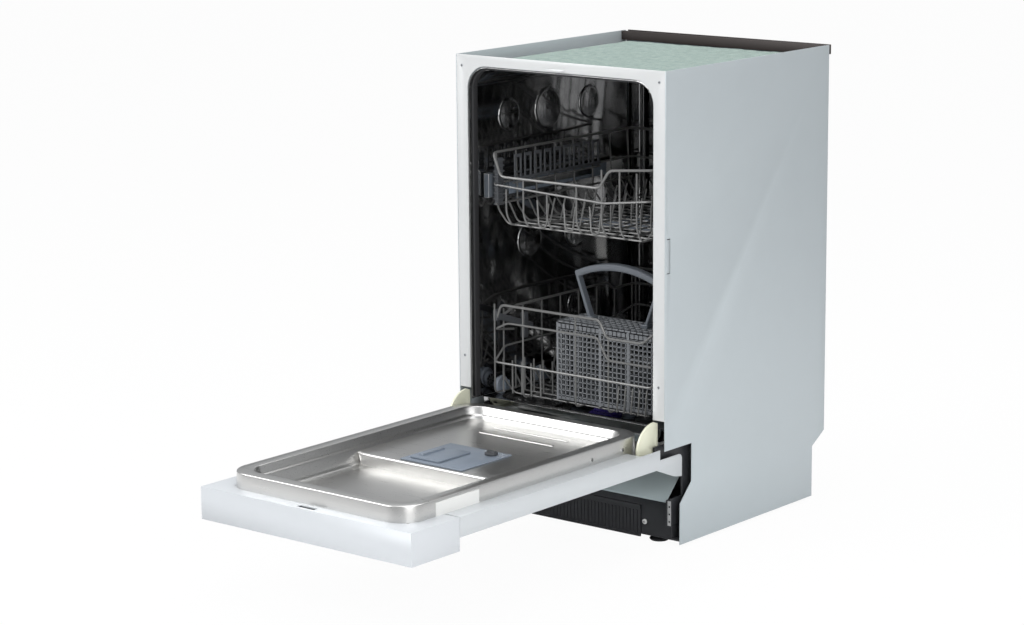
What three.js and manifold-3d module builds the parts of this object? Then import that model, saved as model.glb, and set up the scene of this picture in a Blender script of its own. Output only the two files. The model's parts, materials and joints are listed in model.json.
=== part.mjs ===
// Slimline built-in dishwasher, door open and both baskets pushed home.
// Millimetres, +Z up. Inside the root group x = 0 is the middle of the cabinet,
// y = 0 is the face of the front frame with -Y towards the user, and z = 0 is the floor.
// The root group then shifts everything along Y so that the footprint is centred.
import * as THREE from 'three';
import { mergeVertices } from 'three/addons/utils/BufferGeometryUtils.js';
import Module from 'manifold-3d';

const wasm = await Module();
wasm.setup();

// ---------------------------------------------------------------- clearances and sheets
const GAP = 0.3; // between two pieces that rest on each other
const RUN = 0.4; // running clearance round anything that slides or turns
const SHEET = 1.2; // folded steel sheet
const WALL = 2.5; // moulded plastic wall

// ---------------------------------------------------------------- cabinet
const WIDTH = 448;
const HEIGHT = 815;
const PANEL_DEPTH = 485; // side panels, front frame face to back edge
const PANEL_LIFT = 5; // side panels stop this far above the floor
const KICK_SETBACK = 44; // toe space
const KICK_TOP = 77;
const REAR_FOOT_SETBACK = 38; // the base stops short of the panels at the back
const REAR_CHAMFER_LOW = 97;
const REAR_CHAMFER_HIGH = 120;
const TAB = { y: 5, width: 9, z: 478, height: 59, slit: 1.4 }; // cut in each side panel by a U-shaped slit
const RETURN_FLANGE = 10; // inward hem behind the front frame
const FRAME_T = 2; // front frame plate
const STILE = 25; // front frame upright
const FRAME_TOP_RAIL = 18;
const FRAME_CORNER_R = 40;
const REAR_RAIL_DEPTH = 22;
const REAR_RAIL_HEIGHT = 17;
const REAR_OVERHANG = 8; // the rear rail stands behind the panels
const FELT_T = 6;
const FELT_INSET = 3;

// ---------------------------------------------------------------- door hinge and its sweep
const PIVOT_Y = -5;
const PIVOT_Z = 177;
const SLOT_BACK = 77; // side panels are cut away this far for the door's lower ears
const SLOT_BOTTOM = 110;
const SECTOR_R = 49; // cream hinge leaf
const PIN_R = 4;
const LEAF_T = 4;
const MOUNT_T = 4;
const STRIKER_X = [-17, 14]; // latch striker on the frame's top rail
const STRIKER_LENGTH = 12;
const STRIKER_T = 2.4;
const STRIKER_Z = HEIGHT - 15;
const STRIKE_Y = PIVOT_Y - (STRIKER_Z + STRIKER_T / 2 - PIVOT_Z); // where it enters the open door

// ---------------------------------------------------------------- door
const DOOR_CROWN_GAP = 1; // the shut door stops this far below the cabinet's top
const DOOR_FACE_Z = 181; // inner plane of the open door
const DOOR_SKIN_DEPTH = 33; // door plane to outer skin
const DOOR_TAIL = 10; // the skin stops this far in front of the cabinet
const FASCIA_DEPTH = 54;
const FASCIA_LENGTH = 113;
const DOOR_SIDE_INSET = 2; // door skin is narrower than the fascia on each side
const EAR_BACK = 52;
const EAR_TOP = 164;
const EAR_BOTTOM = 128;
const EAR_FRONT = -20;
const EAR_R = 9;
const LINER_TAIL = 12; // inner end of the liner
const LINER_MARGIN = 1.2; // between the shut door's liner and the seal
const LINER_CORNER_R = 42;
const RIM_Z = 207.7; // the lower wheels run on this level, in the tub and on the door
const LINER_LEDGE = 19;
const LINER_FLOOR_Z = 166;
const LINER_SLOPE = 14;
const PLATFORM_Z = 188; // raised inner part of the liner's floor, which holds the dispenser
const PLATFORM_FRONT = -345;
const FLANGE_LAP = 6; // the liner's foot rests this far on the door's inner flange
const DISPENSER = { half: 62, front: -335, back: -215, cup: [-50, 5, -325, -250], depth: 14 };
const RINSE_X = 40;
const RINSE_Y = -232;
const RINSE_R = 11;
const BUTTON_XS = [-190, 190]; // power, start
const BUTTON_Y = -592;
const BUTTON_R = 8;
const BUTTON_PROUD = 1.5;

// ---------------------------------------------------------------- tub
const TUB_SILL_Y = 28.5; // front edge of the tub floor
const TUB_LEDGE = 23;
const TUB_SILL_LEDGE = 15;
const PAN_FLOOR_Z = 168;
const PAN_SLOPE = 20;
const SEAL_T = 4.2;
const SEAL_TOP_T = 3.3;
const SEAL_FRONT = 8;
const SEAL_WIDTH = 12;

// ---------------------------------------------------------------- water parts under the tub
const ARM_HUB_Y = 250;
const ARM_RADIUS = 160;
const LOWER_ARM_Z = 190;
const ARM_T = 11;
const FILTER_X = 70;
const FILTER_Y = 205;
const FILTER_R = 44.5;
const FILTER_WALL = 2;
const SUMP_Z = 96;
const POST_R = 13; // fixed post under the lower spray arm
const SPIGOT_R = 7;
const ARM_HALF_W = 19;
const PUMP_R = 36;
const VALVE_X = 150;
const SALT_X = -22;
const SALT_Y = 160;
const SALT_R = 30;
const BASE_FLOOR_Z = 10;
const BASE_T = 4;
const FOOT_INSET = 20;
const REAR_FOOT_HALF = 50;
const DECK_SHELF = 24;
const COVER_HALF = 141;
const COVER_TOP = 62;

// ---------------------------------------------------------------- baskets
const WIRE_R = 2;
const RIM_WIRE_R = 2.5;
const WIRE_SIDES = 4;
const CROSS_WIRE_R = 1.7; // uprights and the lengthwise floor wires
const CROSS_DROP = 0.9; // the lengthwise floor wires are welded under the others
const BASKET_FRONT = 34; // both baskets at home
const LOWER_BOTTOM = 215;
const LOWER_MID = 290;
const LOWER_RIM = 363;
const LOWER_FRONT_RIM = 375;
const LOWER_DIP = 345;
const LOWER_STAND = 378; // raised rear rail of the lower basket
const WHEEL_R = 16.5;
const WHEEL_W = 11;
const WHEEL_RIM_EDGE = 2; // the wheels run this far inside the liner's edge
const AXLE_R = 3;
const UPPER_BOTTOM = 519;
const UPPER_MID = 582;
const UPPER_RIM = 642;
const UPPER_DIP = 602;
const SHELF_Z = 585; // hinge line of the folding cup shelf
const SHELF_FRONT = 75;
const SHELF_LENGTH = 250;
const SHELF_RISE = 51;
const SHELF_FINGERS = 5;
const SHELF_T = 3;
const PIPE_HALF = 14; // flat duct under the upper basket
const PIPE_H = 7;

// ---------------------------------------------------------------- upper basket runners
const RAIL_Z = 563; // underside of the rail
const RAIL_H = 24;
const RAIL_T = 1.5;
const RAIL_DEPTH = 10.4; // across, wall side to basket side
const CAP_L = 16;
const CAP_RISE = 18;
const GUIDE_LENGTH = 153;
const GUIDE_LIP = 3.6;
const HANGER_T = 3;

// ---------------------------------------------------------------- cutlery basket
const CUTLERY_X = 57;
const CUTLERY_LENGTH = 215;
const CUTLERY_WIDTH = 76;
const CUTLERY_FRONT = 57;
const CUTLERY_HEIGHT = 138;
const CUTLERY_WALL = 2;
const LID_T = 3;
const HANDLE_FEET = 118;
const HANDLE_SPAN = 186;
const HANDLE_SHOULDER = 83;
const HANDLE_RISE = 104;
const HANDLE_T = 7; // thickness of the legs, half the depth of the arch
const HANDLE_BAR = 12; // height of the curved bar

// ---------------------------------------------------------------- derived places
const HALF = WIDTH / 2;
const INNER = HALF - SHEET; // inside face of the side panels
const OPENING_HALF = HALF - STILE;
const OPENING_TOP = HEIGHT - FRAME_TOP_RAIL;
const OVERALL_BACK = PANEL_DEPTH + REAR_OVERHANG;
const TUB_HALF = OPENING_HALF - 1.6; // inner face of the tub side walls
const TUB_TOP = OPENING_TOP - 3; // inner face of the tub top
const TUB_BACK = PANEL_DEPTH - 26.5; // inner face of the tub back wall
const LEAF_X = TUB_HALF + SHEET + 4.4; // cream hinge leaf, distance from the middle
const MOUNT_X = LEAF_X + LEAF_T + 2; // hinge bracket of the cabinet
const DOOR_REACH = HEIGHT - DOOR_CROWN_GAP - PIVOT_Z - PIVOT_Y; // open door, from the front frame's face
const LINER_HALF = TUB_HALF - SEAL_T - LINER_MARGIN;
const LINER_END = TUB_TOP - SEAL_TOP_T - 0.7 - PIVOT_Z - PIVOT_Y; // outer end of the liner
const BASE_HALF = HALF - 19;
const DECK_HALF = BASE_HALF - 9;
const FOOT_X = HALF - 59;
const FASCIA_Z = DOOR_FACE_Z - FASCIA_DEPTH;
const FASCIA_BACK = -DOOR_REACH + FASCIA_LENGTH;
const SKIN_Z = DOOR_FACE_Z - DOOR_SKIN_DEPTH;
const DOOR_HALF = HALF - DOOR_SIDE_INSET;
const STILE_FOOT = PIVOT_Z + SECTOR_R + 2;
const WHEEL_Z = RIM_Z + WHEEL_R;
const WHEEL_IN = LINER_HALF - WHEEL_RIM_EDGE - WHEEL_W; // inner face of the wheels
const LOWER_HALF = WHEEL_IN - 7;
const LOWER_BACK = TUB_BACK - 12.5;
const WHEEL_YS = [BASKET_FRONT + 31, BASKET_FRONT + 141, LOWER_BACK - 115, LOWER_BACK - 18];
const RAIL_OUT = TUB_HALF - SEAL_T - GAP - RUN; // the rail slides out past the seal
const RAIL_IN = RAIL_OUT - RAIL_DEPTH;
const GUIDE_FRONT = BASKET_FRONT + CAP_L + 2;
const RAIL_BACK = TUB_BACK - 28.5;
const UPPER_HALF = RAIL_IN - 8.1;
const UPPER_BACK = TUB_BACK - 24.5;
const ROLLER_YS = [BASKET_FRONT + 66, UPPER_BACK - 84];
const SHELF_X = 14 - UPPER_HALF;

// ================================================================ solid helpers
const place = new THREE.Matrix4();

function toSolid(geometry) {
  const plain = geometry.clone();
  plain.deleteAttribute('normal');
  plain.deleteAttribute('uv');
  const merged = mergeVertices(plain, 1e-4);
  const vertProperties = new Float32Array(merged.attributes.position.array);
  const triVerts = new Uint32Array(realTriangles(merged.index.array));
  return new wasm.Manifold(new wasm.Mesh({ numProp: 3, vertProperties, triVerts }));
}

// A lathe leaves triangles with no area at its poles.
function realTriangles(index) {
  const kept = [];
  for (let i = 0; i < index.length; i += 3) {
    const [a, b, c] = index.slice(i, i + 3);
    if (a !== b && b !== c && c !== a) kept.push(a, b, c);
  }
  return kept;
}

function toGeometry(solid) {
  const mesh = solid.getMesh();
  const geometry = new THREE.BufferGeometry();
  geometry.setAttribute('position', new THREE.BufferAttribute(new Float32Array(mesh.vertProperties), 3));
  geometry.setIndex(new THREE.BufferAttribute(new Uint32Array(mesh.triVerts), 1));
  return geometry;
}

const join = (first, ...rest) => rest.reduce((whole, piece) => whole.add(piece), first);
const cut = (first, ...rest) => rest.reduce((whole, piece) => whole.subtract(piece), first);
const meet = (first, ...rest) => rest.reduce((whole, piece) => whole.intersect(piece), first);

// An axis-aligned block from its low and high corners.
function block(x0, x1, y0, y1, z0, z1) {
  const geometry = new THREE.BoxGeometry(x1 - x0, y1 - y0, z1 - z0);
  geometry.translate((x0 + x1) / 2, (y0 + y1) / 2, (z0 + z1) / 2);
  return toSolid(geometry);
}

// The same block on the left (side -1) or right (side 1), given its distances from the middle.
function sideBlock(side, near, far, y0, y1, z0, z1) {
  return side > 0 ? block(near, far, y0, y1, z0, z1) : block(-far, -near, y0, y1, z0, z1);
}

function shapeOf(points) {
  return new THREE.Shape(points.map(([u, v]) => new THREE.Vector2(u, v)));
}

// A flat outline made thick along one axis. The outline is (y, z) along x, (x, z) along y and
// (x, y) along z.
function prism(axis, outline, from, to, curveSegments = 6) {
  const shape = Array.isArray(outline) ? shapeOf(outline) : outline;
  const geometry = new THREE.ExtrudeGeometry(shape, { depth: to - from, bevelEnabled: false, curveSegments });
  if (axis === 'x') place.set(0, 0, 1, from, 1, 0, 0, 0, 0, 1, 0, 0, 0, 0, 0, 1);
  if (axis === 'y') place.set(1, 0, 0, 0, 0, 0, -1, to, 0, 1, 0, 0, 0, 0, 0, 1);
  if (axis === 'z') place.makeTranslation(0, 0, from);
  return toSolid(geometry.applyMatrix4(place));
}

function sidePrism(side, outline, near, far, curveSegments = 6) {
  const from = side > 0 ? near : -far;
  return prism('x', outline, from, from + far - near, curveSegments);
}

// A straight round (or few-sided) bar between two points.
function rod(a, b, radius, sides = WIRE_SIDES) {
  const start = new THREE.Vector3(...a);
  const end = new THREE.Vector3(...b);
  const along = end.clone().sub(start);
  const geometry = new THREE.CylinderGeometry(radius, radius, along.length(), sides);
  const turn = new THREE.Quaternion().setFromUnitVectors(new THREE.Vector3(0, 1, 0), along.normalize());
  const middle = start.add(end).multiplyScalar(0.5);
  return toSolid(geometry.applyMatrix4(place.compose(middle, turn, new THREE.Vector3(1, 1, 1))));
}

// Bars from point to point, each lengthened by its radius so that the corners meet.
function bentBar(points, radius, sides = WIRE_SIDES) {
  const bars = points.slice(1).map((point, i) => {
    const a = new THREE.Vector3(...points[i]);
    const b = new THREE.Vector3(...point);
    const reach = b.clone().sub(a).setLength(radius * 0.9);
    return rod(a.sub(reach).toArray(), b.add(reach).toArray(), radius, sides);
  });
  return join(...bars);
}

// A solid of revolution about a vertical axis; the profile is (radius, z) and closes on itself.
function turned(profile, x, y, segments = 24) {
  const points = profile.map(([r, z]) => new THREE.Vector2(r, z));
  const geometry = new THREE.LatheGeometry(points, segments);
  geometry.rotateX(Math.PI / 2);
  geometry.translate(x, y, 0);
  return outward(geometry);
}

// Turns a closed mesh inside out if its faces point in.
function outward(geometry) {
  const solid = toSolid(geometry);
  if (solid.volume() > 0) return solid;
  const plain = geometry.clone();
  const index = plain.index.array;
  for (let i = 0; i < index.length; i += 3) [index[i], index[i + 1]] = [index[i + 1], index[i]];
  return toSolid(plain);
}

// One ring of a loft: a rectangle with rounded corners at one height.
function ring(halfX, y0, y1, radius, z, steps = 4) {
  const corners = [
    [halfX - radius, y1 - radius, 0],
    [-halfX + radius, y1 - radius, 1],
    [-halfX + radius, y0 + radius, 2],
    [halfX - radius, y0 + radius, 3],
  ];
  const points = [];
  for (const [cx, cy, quarter] of corners) {
    for (let i = 0; i <= steps; i++) {
      const angle = ((quarter + i / steps) * Math.PI) / 2;
      points.push([cx + radius * Math.cos(angle), cy + radius * Math.sin(angle), z]);
    }
  }
  return points;
}

// Joins rings of equal length one to the next and caps the first and the last.
function loft(rings) {
  const n = rings[0].length;
  const positions = rings.flat(2);
  const index = [];
  for (let r = 0; r + 1 < rings.length; r++) {
    for (let i = 0; i < n; i++) {
      const a = r * n + i;
      const b = r * n + ((i + 1) % n);
      index.push(a, b, b + n, a, b + n, a + n);
    }
  }
  const last = (rings.length - 1) * n;
  for (let i = 1; i + 1 < n; i++) {
    index.push(0, i + 1, i);
    index.push(last, last + i, last + i + 1);
  }
  const geometry = new THREE.BufferGeometry();
  geometry.setAttribute('position', new THREE.BufferAttribute(new Float32Array(positions), 3));
  geometry.setIndex(index);
  return outward(geometry);
}

// An upside-down U standing on zFoot, as a band of one thickness.
function archOutline(half, top, radius, thickness, topThickness, zFoot) {
  const inner = half - thickness;
  const innerTop = top - topThickness;
  const innerR = Math.max(radius - thickness, 1);
  const shape = new THREE.Shape();
  shape.moveTo(-half, zFoot);
  shape.lineTo(-half, top - radius);
  shape.absarc(-half + radius, top - radius, radius, Math.PI, Math.PI / 2, true);
  shape.lineTo(half - radius, top);
  shape.absarc(half - radius, top - radius, radius, Math.PI / 2, 0, true);
  shape.lineTo(half, zFoot);
  shape.lineTo(inner, zFoot);
  shape.lineTo(inner, innerTop - innerR);
  shape.absarc(inner - innerR, innerTop - innerR, innerR, 0, Math.PI / 2, false);
  shape.lineTo(-inner + innerR, innerTop);
  shape.absarc(-inner + innerR, innerTop - innerR, innerR, Math.PI / 2, Math.PI, false);
  shape.lineTo(-inner, zFoot);
  return shape;
}

// ================================================================ cabinet shells
function sidePanel(side) {
  const outline = [
    [0, PIVOT_Z],
    [SLOT_BACK, PIVOT_Z],
    [SLOT_BACK, SLOT_BOTTOM],
    [KICK_SETBACK, KICK_TOP],
    [KICK_SETBACK, PANEL_LIFT],
    [PANEL_DEPTH - REAR_FOOT_SETBACK, PANEL_LIFT],
    [PANEL_DEPTH - REAR_FOOT_SETBACK, REAR_CHAMFER_LOW],
    [PANEL_DEPTH, REAR_CHAMFER_HIGH],
    [PANEL_DEPTH, HEIGHT],
    [0, HEIGHT],
  ];
  const skin = sidePrism(side, outline, INNER, HALF);
  const hemY = FRAME_T + GAP;
  const hem = sideBlock(side, INNER - RETURN_FLANGE, HALF, hemY, hemY + SHEET, STILE_FOOT, OPENING_TOP);
  const slits = [
    [TAB.y, TAB.y + TAB.width, TAB.z, TAB.z + TAB.slit],
    [TAB.y, TAB.y + TAB.width, TAB.z + TAB.height - TAB.slit, TAB.z + TAB.height],
    [TAB.y + TAB.width - TAB.slit, TAB.y + TAB.width, TAB.z, TAB.z + TAB.height],
  ].map(([y0, y1, z0, z1]) => sideBlock(side, INNER - 1, HALF + 1, y0, y1, z0, z1));
  return join(cut(skin, ...slits), hem);
}

function frontFrame() {
  const half = INNER - GAP;
  const outline = new THREE.Shape();
  outline.moveTo(-half, STILE_FOOT);
  outline.lineTo(-half, HEIGHT);
  outline.lineTo(half, HEIGHT);
  outline.lineTo(half, STILE_FOOT);
  outline.lineTo(OPENING_HALF, STILE_FOOT);
  const r = FRAME_CORNER_R;
  outline.lineTo(OPENING_HALF, OPENING_TOP - r);
  outline.absarc(OPENING_HALF - r, OPENING_TOP - r, r, 0, Math.PI / 2, false);
  outline.lineTo(-OPENING_HALF + r, OPENING_TOP);
  outline.absarc(-OPENING_HALF + r, OPENING_TOP - r, r, Math.PI / 2, Math.PI, false);
  outline.lineTo(-OPENING_HALF, STILE_FOOT);
  const striker = block(...STRIKER_X, -STRIKER_LENGTH, FRAME_T / 2, STRIKER_Z, STRIKER_Z + STRIKER_T);
  return join(prism('y', outline, 0, FRAME_T), striker);
}

function rearPanel() {
  const half = INNER - GAP;
  const y = PANEL_DEPTH + GAP;
  return block(-half, half, y, y + SHEET, REAR_CHAMFER_HIGH, HEIGHT - REAR_RAIL_HEIGHT - 2 * GAP);
}

function rearRail() {
  const half = INNER - GAP;
  const bottom = HEIGHT - REAR_RAIL_HEIGHT;
  const whole = block(-half, half, OVERALL_BACK - REAR_RAIL_DEPTH, OVERALL_BACK, bottom, HEIGHT);
  const y0 = OVERALL_BACK - REAR_RAIL_DEPTH + WALL;
  const channel = block(-half - 1, half + 1, y0, OVERALL_BACK - WALL, bottom + WALL, HEIGHT + 1);
  return cut(whole, channel);
}

function insulationMat() {
  const half = TUB_HALF - FELT_INSET;
  const bottom = TUB_TOP + SHEET + GAP;
  const front = FRAME_T + SHEET + 8;
  const back = TUB_BACK - FELT_INSET;
  return loft([
    ring(half - 2, front + 2, back - 2, 6, bottom),
    ring(half, front, back, 8, bottom + 1.5),
    ring(half, front, back, 8, bottom + FELT_T - 2),
    ring(half - 2.5, front + 2.5, back - 2.5, 6, bottom + FELT_T),
  ]);
}

// ================================================================ tub
function tubWrapper() {
  const half = TUB_HALF + SHEET;
  const outline = archOutline(half, TUB_TOP + SHEET, FRAME_CORNER_R, SHEET, SHEET, RIM_Z + GAP);
  return prism('y', outline, FRAME_T + GAP, TUB_BACK + SHEET + 1);
}

function tubBack() {
  const half = TUB_HALF - GAP;
  const top = TUB_TOP - GAP;
  const r = FRAME_CORNER_R - SHEET;
  const outline = new THREE.Shape();
  outline.moveTo(-half, RIM_Z + GAP);
  outline.lineTo(half, RIM_Z + GAP);
  outline.lineTo(half, top - r);
  outline.absarc(half - r, top - r, r, 0, Math.PI / 2, false);
  outline.lineTo(-half + r, top);
  outline.absarc(-half + r, top - r, r, Math.PI / 2, Math.PI, false);
  return prism('y', outline, TUB_BACK, TUB_BACK + SHEET);
}

function tubFloor() {
  const half = TUB_HALF + SHEET;
  const back = TUB_BACK + SHEET + 1;
  const panHalf = half - TUB_LEDGE;
  const panFront = TUB_SILL_Y + TUB_SILL_LEDGE;
  const panBack = back - TUB_SILL_LEDGE;
  const s = PAN_SLOPE;
  const shell = loft([
    ring(panHalf - s, panFront + s, panBack - s, 30, PAN_FLOOR_Z),
    ring(panHalf, panFront, panBack, 26, RIM_Z - 6),
    ring(panHalf + 1, panFront - 1, panBack + 1, 26, RIM_Z),
    ring(half, TUB_SILL_Y, back, 5, RIM_Z),
    ring(half, TUB_SILL_Y, back, 5, RIM_Z - SHEET),
    ring(panHalf + 2, panFront - 2, panBack + 2, 27, RIM_Z - SHEET),
    ring(panHalf + SHEET, panFront - SHEET, panBack + SHEET, 27, RIM_Z - 6 - SHEET),
    ring(panHalf - s + 1, panFront + s - 1, panBack - s + 1, 31, PAN_FLOOR_Z - SHEET),
  ]);
  const sill = block(-half + 6, half - 6, TUB_SILL_Y, TUB_SILL_Y + SHEET, RIM_Z - 16, RIM_Z - SHEET / 2);
  const drop = (x, y, r) => rod([x, y, PAN_FLOOR_Z - 20], [x, y, PAN_FLOOR_Z + 20], r, 24);
  return cut(
    join(shell, sill),
    drop(FILTER_X, FILTER_Y, FILTER_R + 2),
    drop(0, ARM_HUB_Y, POST_R + GAP),
    drop(SALT_X, SALT_Y, SALT_R - 4),
  );
}

function doorSeal() {
  const half = TUB_HALF - GAP;
  const outline = archOutline(half, TUB_TOP - GAP, FRAME_CORNER_R - SHEET, SEAL_T, SEAL_TOP_T, RIM_Z + 4);
  return prism('y', outline, SEAL_FRONT, SEAL_FRONT + SEAL_WIDTH);
}

// ================================================================ base
const BASE_FRONT = KICK_SETBACK + 2;
const BASE_BACK = PANEL_DEPTH - REAR_FOOT_SETBACK - 1;
const BASE_TOP = KICK_TOP - 3;

function baseTray() {
  const half = INNER - GAP;
  const plate = block(-half, half, BASE_FRONT, BASE_BACK, BASE_FLOOR_Z, BASE_FLOOR_Z + BASE_T);
  const tub = block(-BASE_HALF, BASE_HALF, BASE_FRONT, BASE_BACK, BASE_FLOOR_Z, BASE_TOP);
  const x = BASE_HALF - WALL;
  const inner = block(-x, x, BASE_FRONT + WALL, BASE_BACK - WALL, BASE_FLOOR_Z + BASE_T, BASE_TOP + 1);
  return join(plate, cut(tub, inner));
}

function baseDeck() {
  const y0 = KICK_SETBACK;
  const lip = BASE_TOP + GAP;
  const rise = SLOT_BOTTOM - KICK_TOP + 5;
  const back = y0 + rise + DECK_SHELF;
  const outline = [
    [y0, lip],
    [y0 + SHEET, lip],
    [y0 + SHEET, KICK_TOP],
    [y0 + SHEET + rise, KICK_TOP + rise],
    [back, KICK_TOP + rise],
    [back, KICK_TOP + rise + SHEET],
    [y0 + rise + 0.6, KICK_TOP + rise + SHEET],
    [y0, KICK_TOP + 0.6],
  ];
  return prism('x', outline, -DECK_HALF, DECK_HALF);
}

function kickCover() {
  const y1 = BASE_FRONT - GAP;
  const plate = block(-COVER_HALF, COVER_HALF, KICK_SETBACK, y1, PANEL_LIFT + 1, COVER_TOP);
  const x0 = -COVER_HALF;
  const notch = block(x0 - 1, x0 + 20, KICK_SETBACK - 1, y1 + 1, COVER_TOP - 8, COVER_TOP + 1);
  return cut(plate, notch);
}

function frontFoot(side) {
  const top = BASE_FLOOR_Z - GAP;
  const profile = [
    [0, 0],
    [15, 0],
    [17, 2],
    [17, 4],
    [8, 6],
    [6, 6.5],
    [6, top],
    [0, top],
  ];
  return turned(profile, side * FOOT_X, BASE_FRONT + FOOT_INSET, 20);
}

function rearFoot() {
  const y = BASE_BACK - FOOT_INSET;
  return loft([
    ring(REAR_FOOT_HALF - 2, y - 13, y + 13, 6, 0),
    ring(REAR_FOOT_HALF, y - 15, y + 15, 8, 2),
    ring(REAR_FOOT_HALF, y - 15, y + 15, 8, BASE_FLOOR_Z - GAP),
  ]);
}

function hingeMount(side) {
  const floor = BASE_FLOOR_Z + BASE_T + GAP;
  const post = SLOT_BACK - 11;
  const plate = [
    [PIVOT_Y - 8, PIVOT_Z - 7],
    [PIVOT_Y + 2, PIVOT_Z - 12],
    [PIVOT_Y + 15, PIVOT_Z - 19],
    [post, PIVOT_Z - 19],
    [post, floor],
    [post + 30, floor],
    [post + 30, PIVOT_Z + 8],
    [PIVOT_Y - 8, PIVOT_Z + 8],
  ];
  const cheek = sidePrism(side, plate, MOUNT_X, MOUNT_X + MOUNT_T);
  const foot = sideBlock(side, MOUNT_X, INNER - 3, post, post + 30, floor, floor + MOUNT_T);
  const tab = sideBlock(side, MOUNT_X, INNER - 3, KICK_SETBACK - 20, KICK_SETBACK - 18, 40, 86);
  const link = sideBlock(side, MOUNT_X, MOUNT_X + MOUNT_T, KICK_SETBACK - 20, post + 1, 40, 86);
  const pinEnd = (x) => [side * x, PIVOT_Y, PIVOT_Z];
  const pin = rod(pinEnd(LEAF_X - 2), pinEnd(MOUNT_X + 1), PIN_R, 20);
  return join(cheek, foot, tab, link, pin);
}

function sump() {
  const under = PAN_FLOOR_Z - SHEET - GAP;
  const bowlR = FILTER_R + 6;
  const bowl = rod([FILTER_X, FILTER_Y, SUMP_Z], [FILTER_X, FILTER_Y, under], bowlR, 24);
  const collar = rod([FILTER_X, FILTER_Y, under - 5], [FILTER_X, FILTER_Y, under], bowlR + 6, 24);
  const post = rod([0, ARM_HUB_Y, under - 6], [0, ARM_HUB_Y, LOWER_ARM_Z - RUN], POST_R, 20);
  const spigot = rod([0, ARM_HUB_Y, LOWER_ARM_Z - 4], [0, ARM_HUB_Y, LOWER_ARM_Z + ARM_T - 4], SPIGOT_R, 16);
  const across = new THREE.Vector2(ARM_HUB_Y - FILTER_Y, FILTER_X).setLength(16);
  const bridge = prism(
    'z',
    [
      [FILTER_X - across.x, FILTER_Y - across.y],
      [FILTER_X + across.x, FILTER_Y + across.y],
      [across.x, ARM_HUB_Y + across.y],
      [-across.x, ARM_HUB_Y - across.y],
    ],
    under - 6,
    under,
  );
  const hollow = rod([FILTER_X, FILTER_Y, SUMP_Z + WALL], [FILTER_X, FILTER_Y, under + 1], FILTER_R + 2, 24);
  return cut(join(bowl, collar, bridge, post, spigot), hollow);
}

function filterCup() {
  const seat = PAN_FLOOR_Z + GAP;
  const low = SUMP_Z + WALL + 12;
  const profile = [
    [0, seat + 3],
    [10, seat + 3],
    [FILTER_R + 5, seat + 2],
    [FILTER_R + 5, seat],
    [FILTER_R, seat],
    [FILTER_R - 3, low],
    [FILTER_R - 3 - FILTER_WALL, low],
    [FILTER_R - FILTER_WALL, seat - 2],
    [0, seat - 1],
  ];
  const body = turned(profile.reverse(), FILTER_X, FILTER_Y, 28);
  const grip = block(FILTER_X - 26, FILTER_X + 26, FILTER_Y - 4, FILTER_Y + 4, seat + 1, seat + 15);
  return join(body, grip);
}

function waterSoftener() {
  const x0 = SALT_X - 72;
  const x1 = FILTER_X - FILTER_R - 6 - 12;
  const tank = block(x0, x1, SALT_Y - 48, SALT_Y + 48, BASE_FLOOR_Z + BASE_T + GAP, PAN_FLOOR_Z - 26);
  const top = PAN_FLOOR_Z + 2;
  const neck = rod([SALT_X, SALT_Y, PAN_FLOOR_Z - 28], [SALT_X, SALT_Y, top], SALT_R - 5, 24);
  return join(tank, neck);
}

function saltCap() {
  const z = PAN_FLOOR_Z + 2 + GAP;
  const profile = [
    [0, z],
    [SALT_R, z],
    [SALT_R, z + 7],
    [SALT_R - 3, z + 10],
    [0, z + 10],
  ];
  const grip = block(SALT_X - 24, SALT_X + 24, SALT_Y - 4, SALT_Y + 4, z + 9, z + 16);
  return join(turned(profile, SALT_X, SALT_Y, 24), grip);
}

function circulationPump() {
  const y = ARM_HUB_Y + 70;
  const z = BASE_FLOOR_Z + BASE_T + GAP + PUMP_R;
  const motor = rod([-140, y, z], [0, y, z], PUMP_R, 20);
  const volute = rod([-4, y, z], [26, y, z], PUMP_R + 8, 20);
  const volume = join(motor, volute);
  const inlet = rod([12, y - 20, z + PUMP_R - 4], [12, ARM_HUB_Y + 28, SUMP_Z + 34], 11, 12);
  const outlet = rod([12, ARM_HUB_Y + 28, SUMP_Z + 30], [4, ARM_HUB_Y + 4, PAN_FLOOR_Z - SHEET - 7], 11, 12);
  const trim = block(-200, 200, 0, 500, PAN_FLOOR_Z - SHEET - 7 - GAP, PAN_FLOOR_Z + 60);
  const floor = block(-200, 200, 0, 500, -60, BASE_FLOOR_Z + BASE_T + GAP);
  return cut(join(volume, inlet, outlet), trim, floor);
}

function inletValve() {
  const y0 = BASE_BACK + GAP;
  const body = block(VALVE_X - 18, VALVE_X + 18, y0, y0 + 22, 40, 72);
  const stub = rod([VALVE_X, y0 + 20, 56], [VALVE_X, PANEL_DEPTH, 56], 11, 16);
  return join(body, stub);
}

// A two-bladed spray arm that turns about a vertical hub.
function sprayArm(y, z, hubTop) {
  const outline = new THREE.Shape();
  const tip = 12;
  outline.moveTo(ARM_RADIUS - tip, y - tip);
  outline.absarc(ARM_RADIUS - tip, y, tip, -Math.PI / 2, Math.PI / 2, false);
  outline.lineTo(0, y + ARM_HALF_W);
  outline.lineTo(-ARM_RADIUS + tip, y + tip);
  outline.absarc(-ARM_RADIUS + tip, y, tip, Math.PI / 2, Math.PI * 1.5, false);
  outline.lineTo(0, y - ARM_HALF_W);
  const blade = prism('z', outline, z, z + ARM_T, 5);
  const hub = rod([0, y, z], [0, y, hubTop], ARM_HALF_W + 3, 20);
  return join(blade, hub);
}

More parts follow.
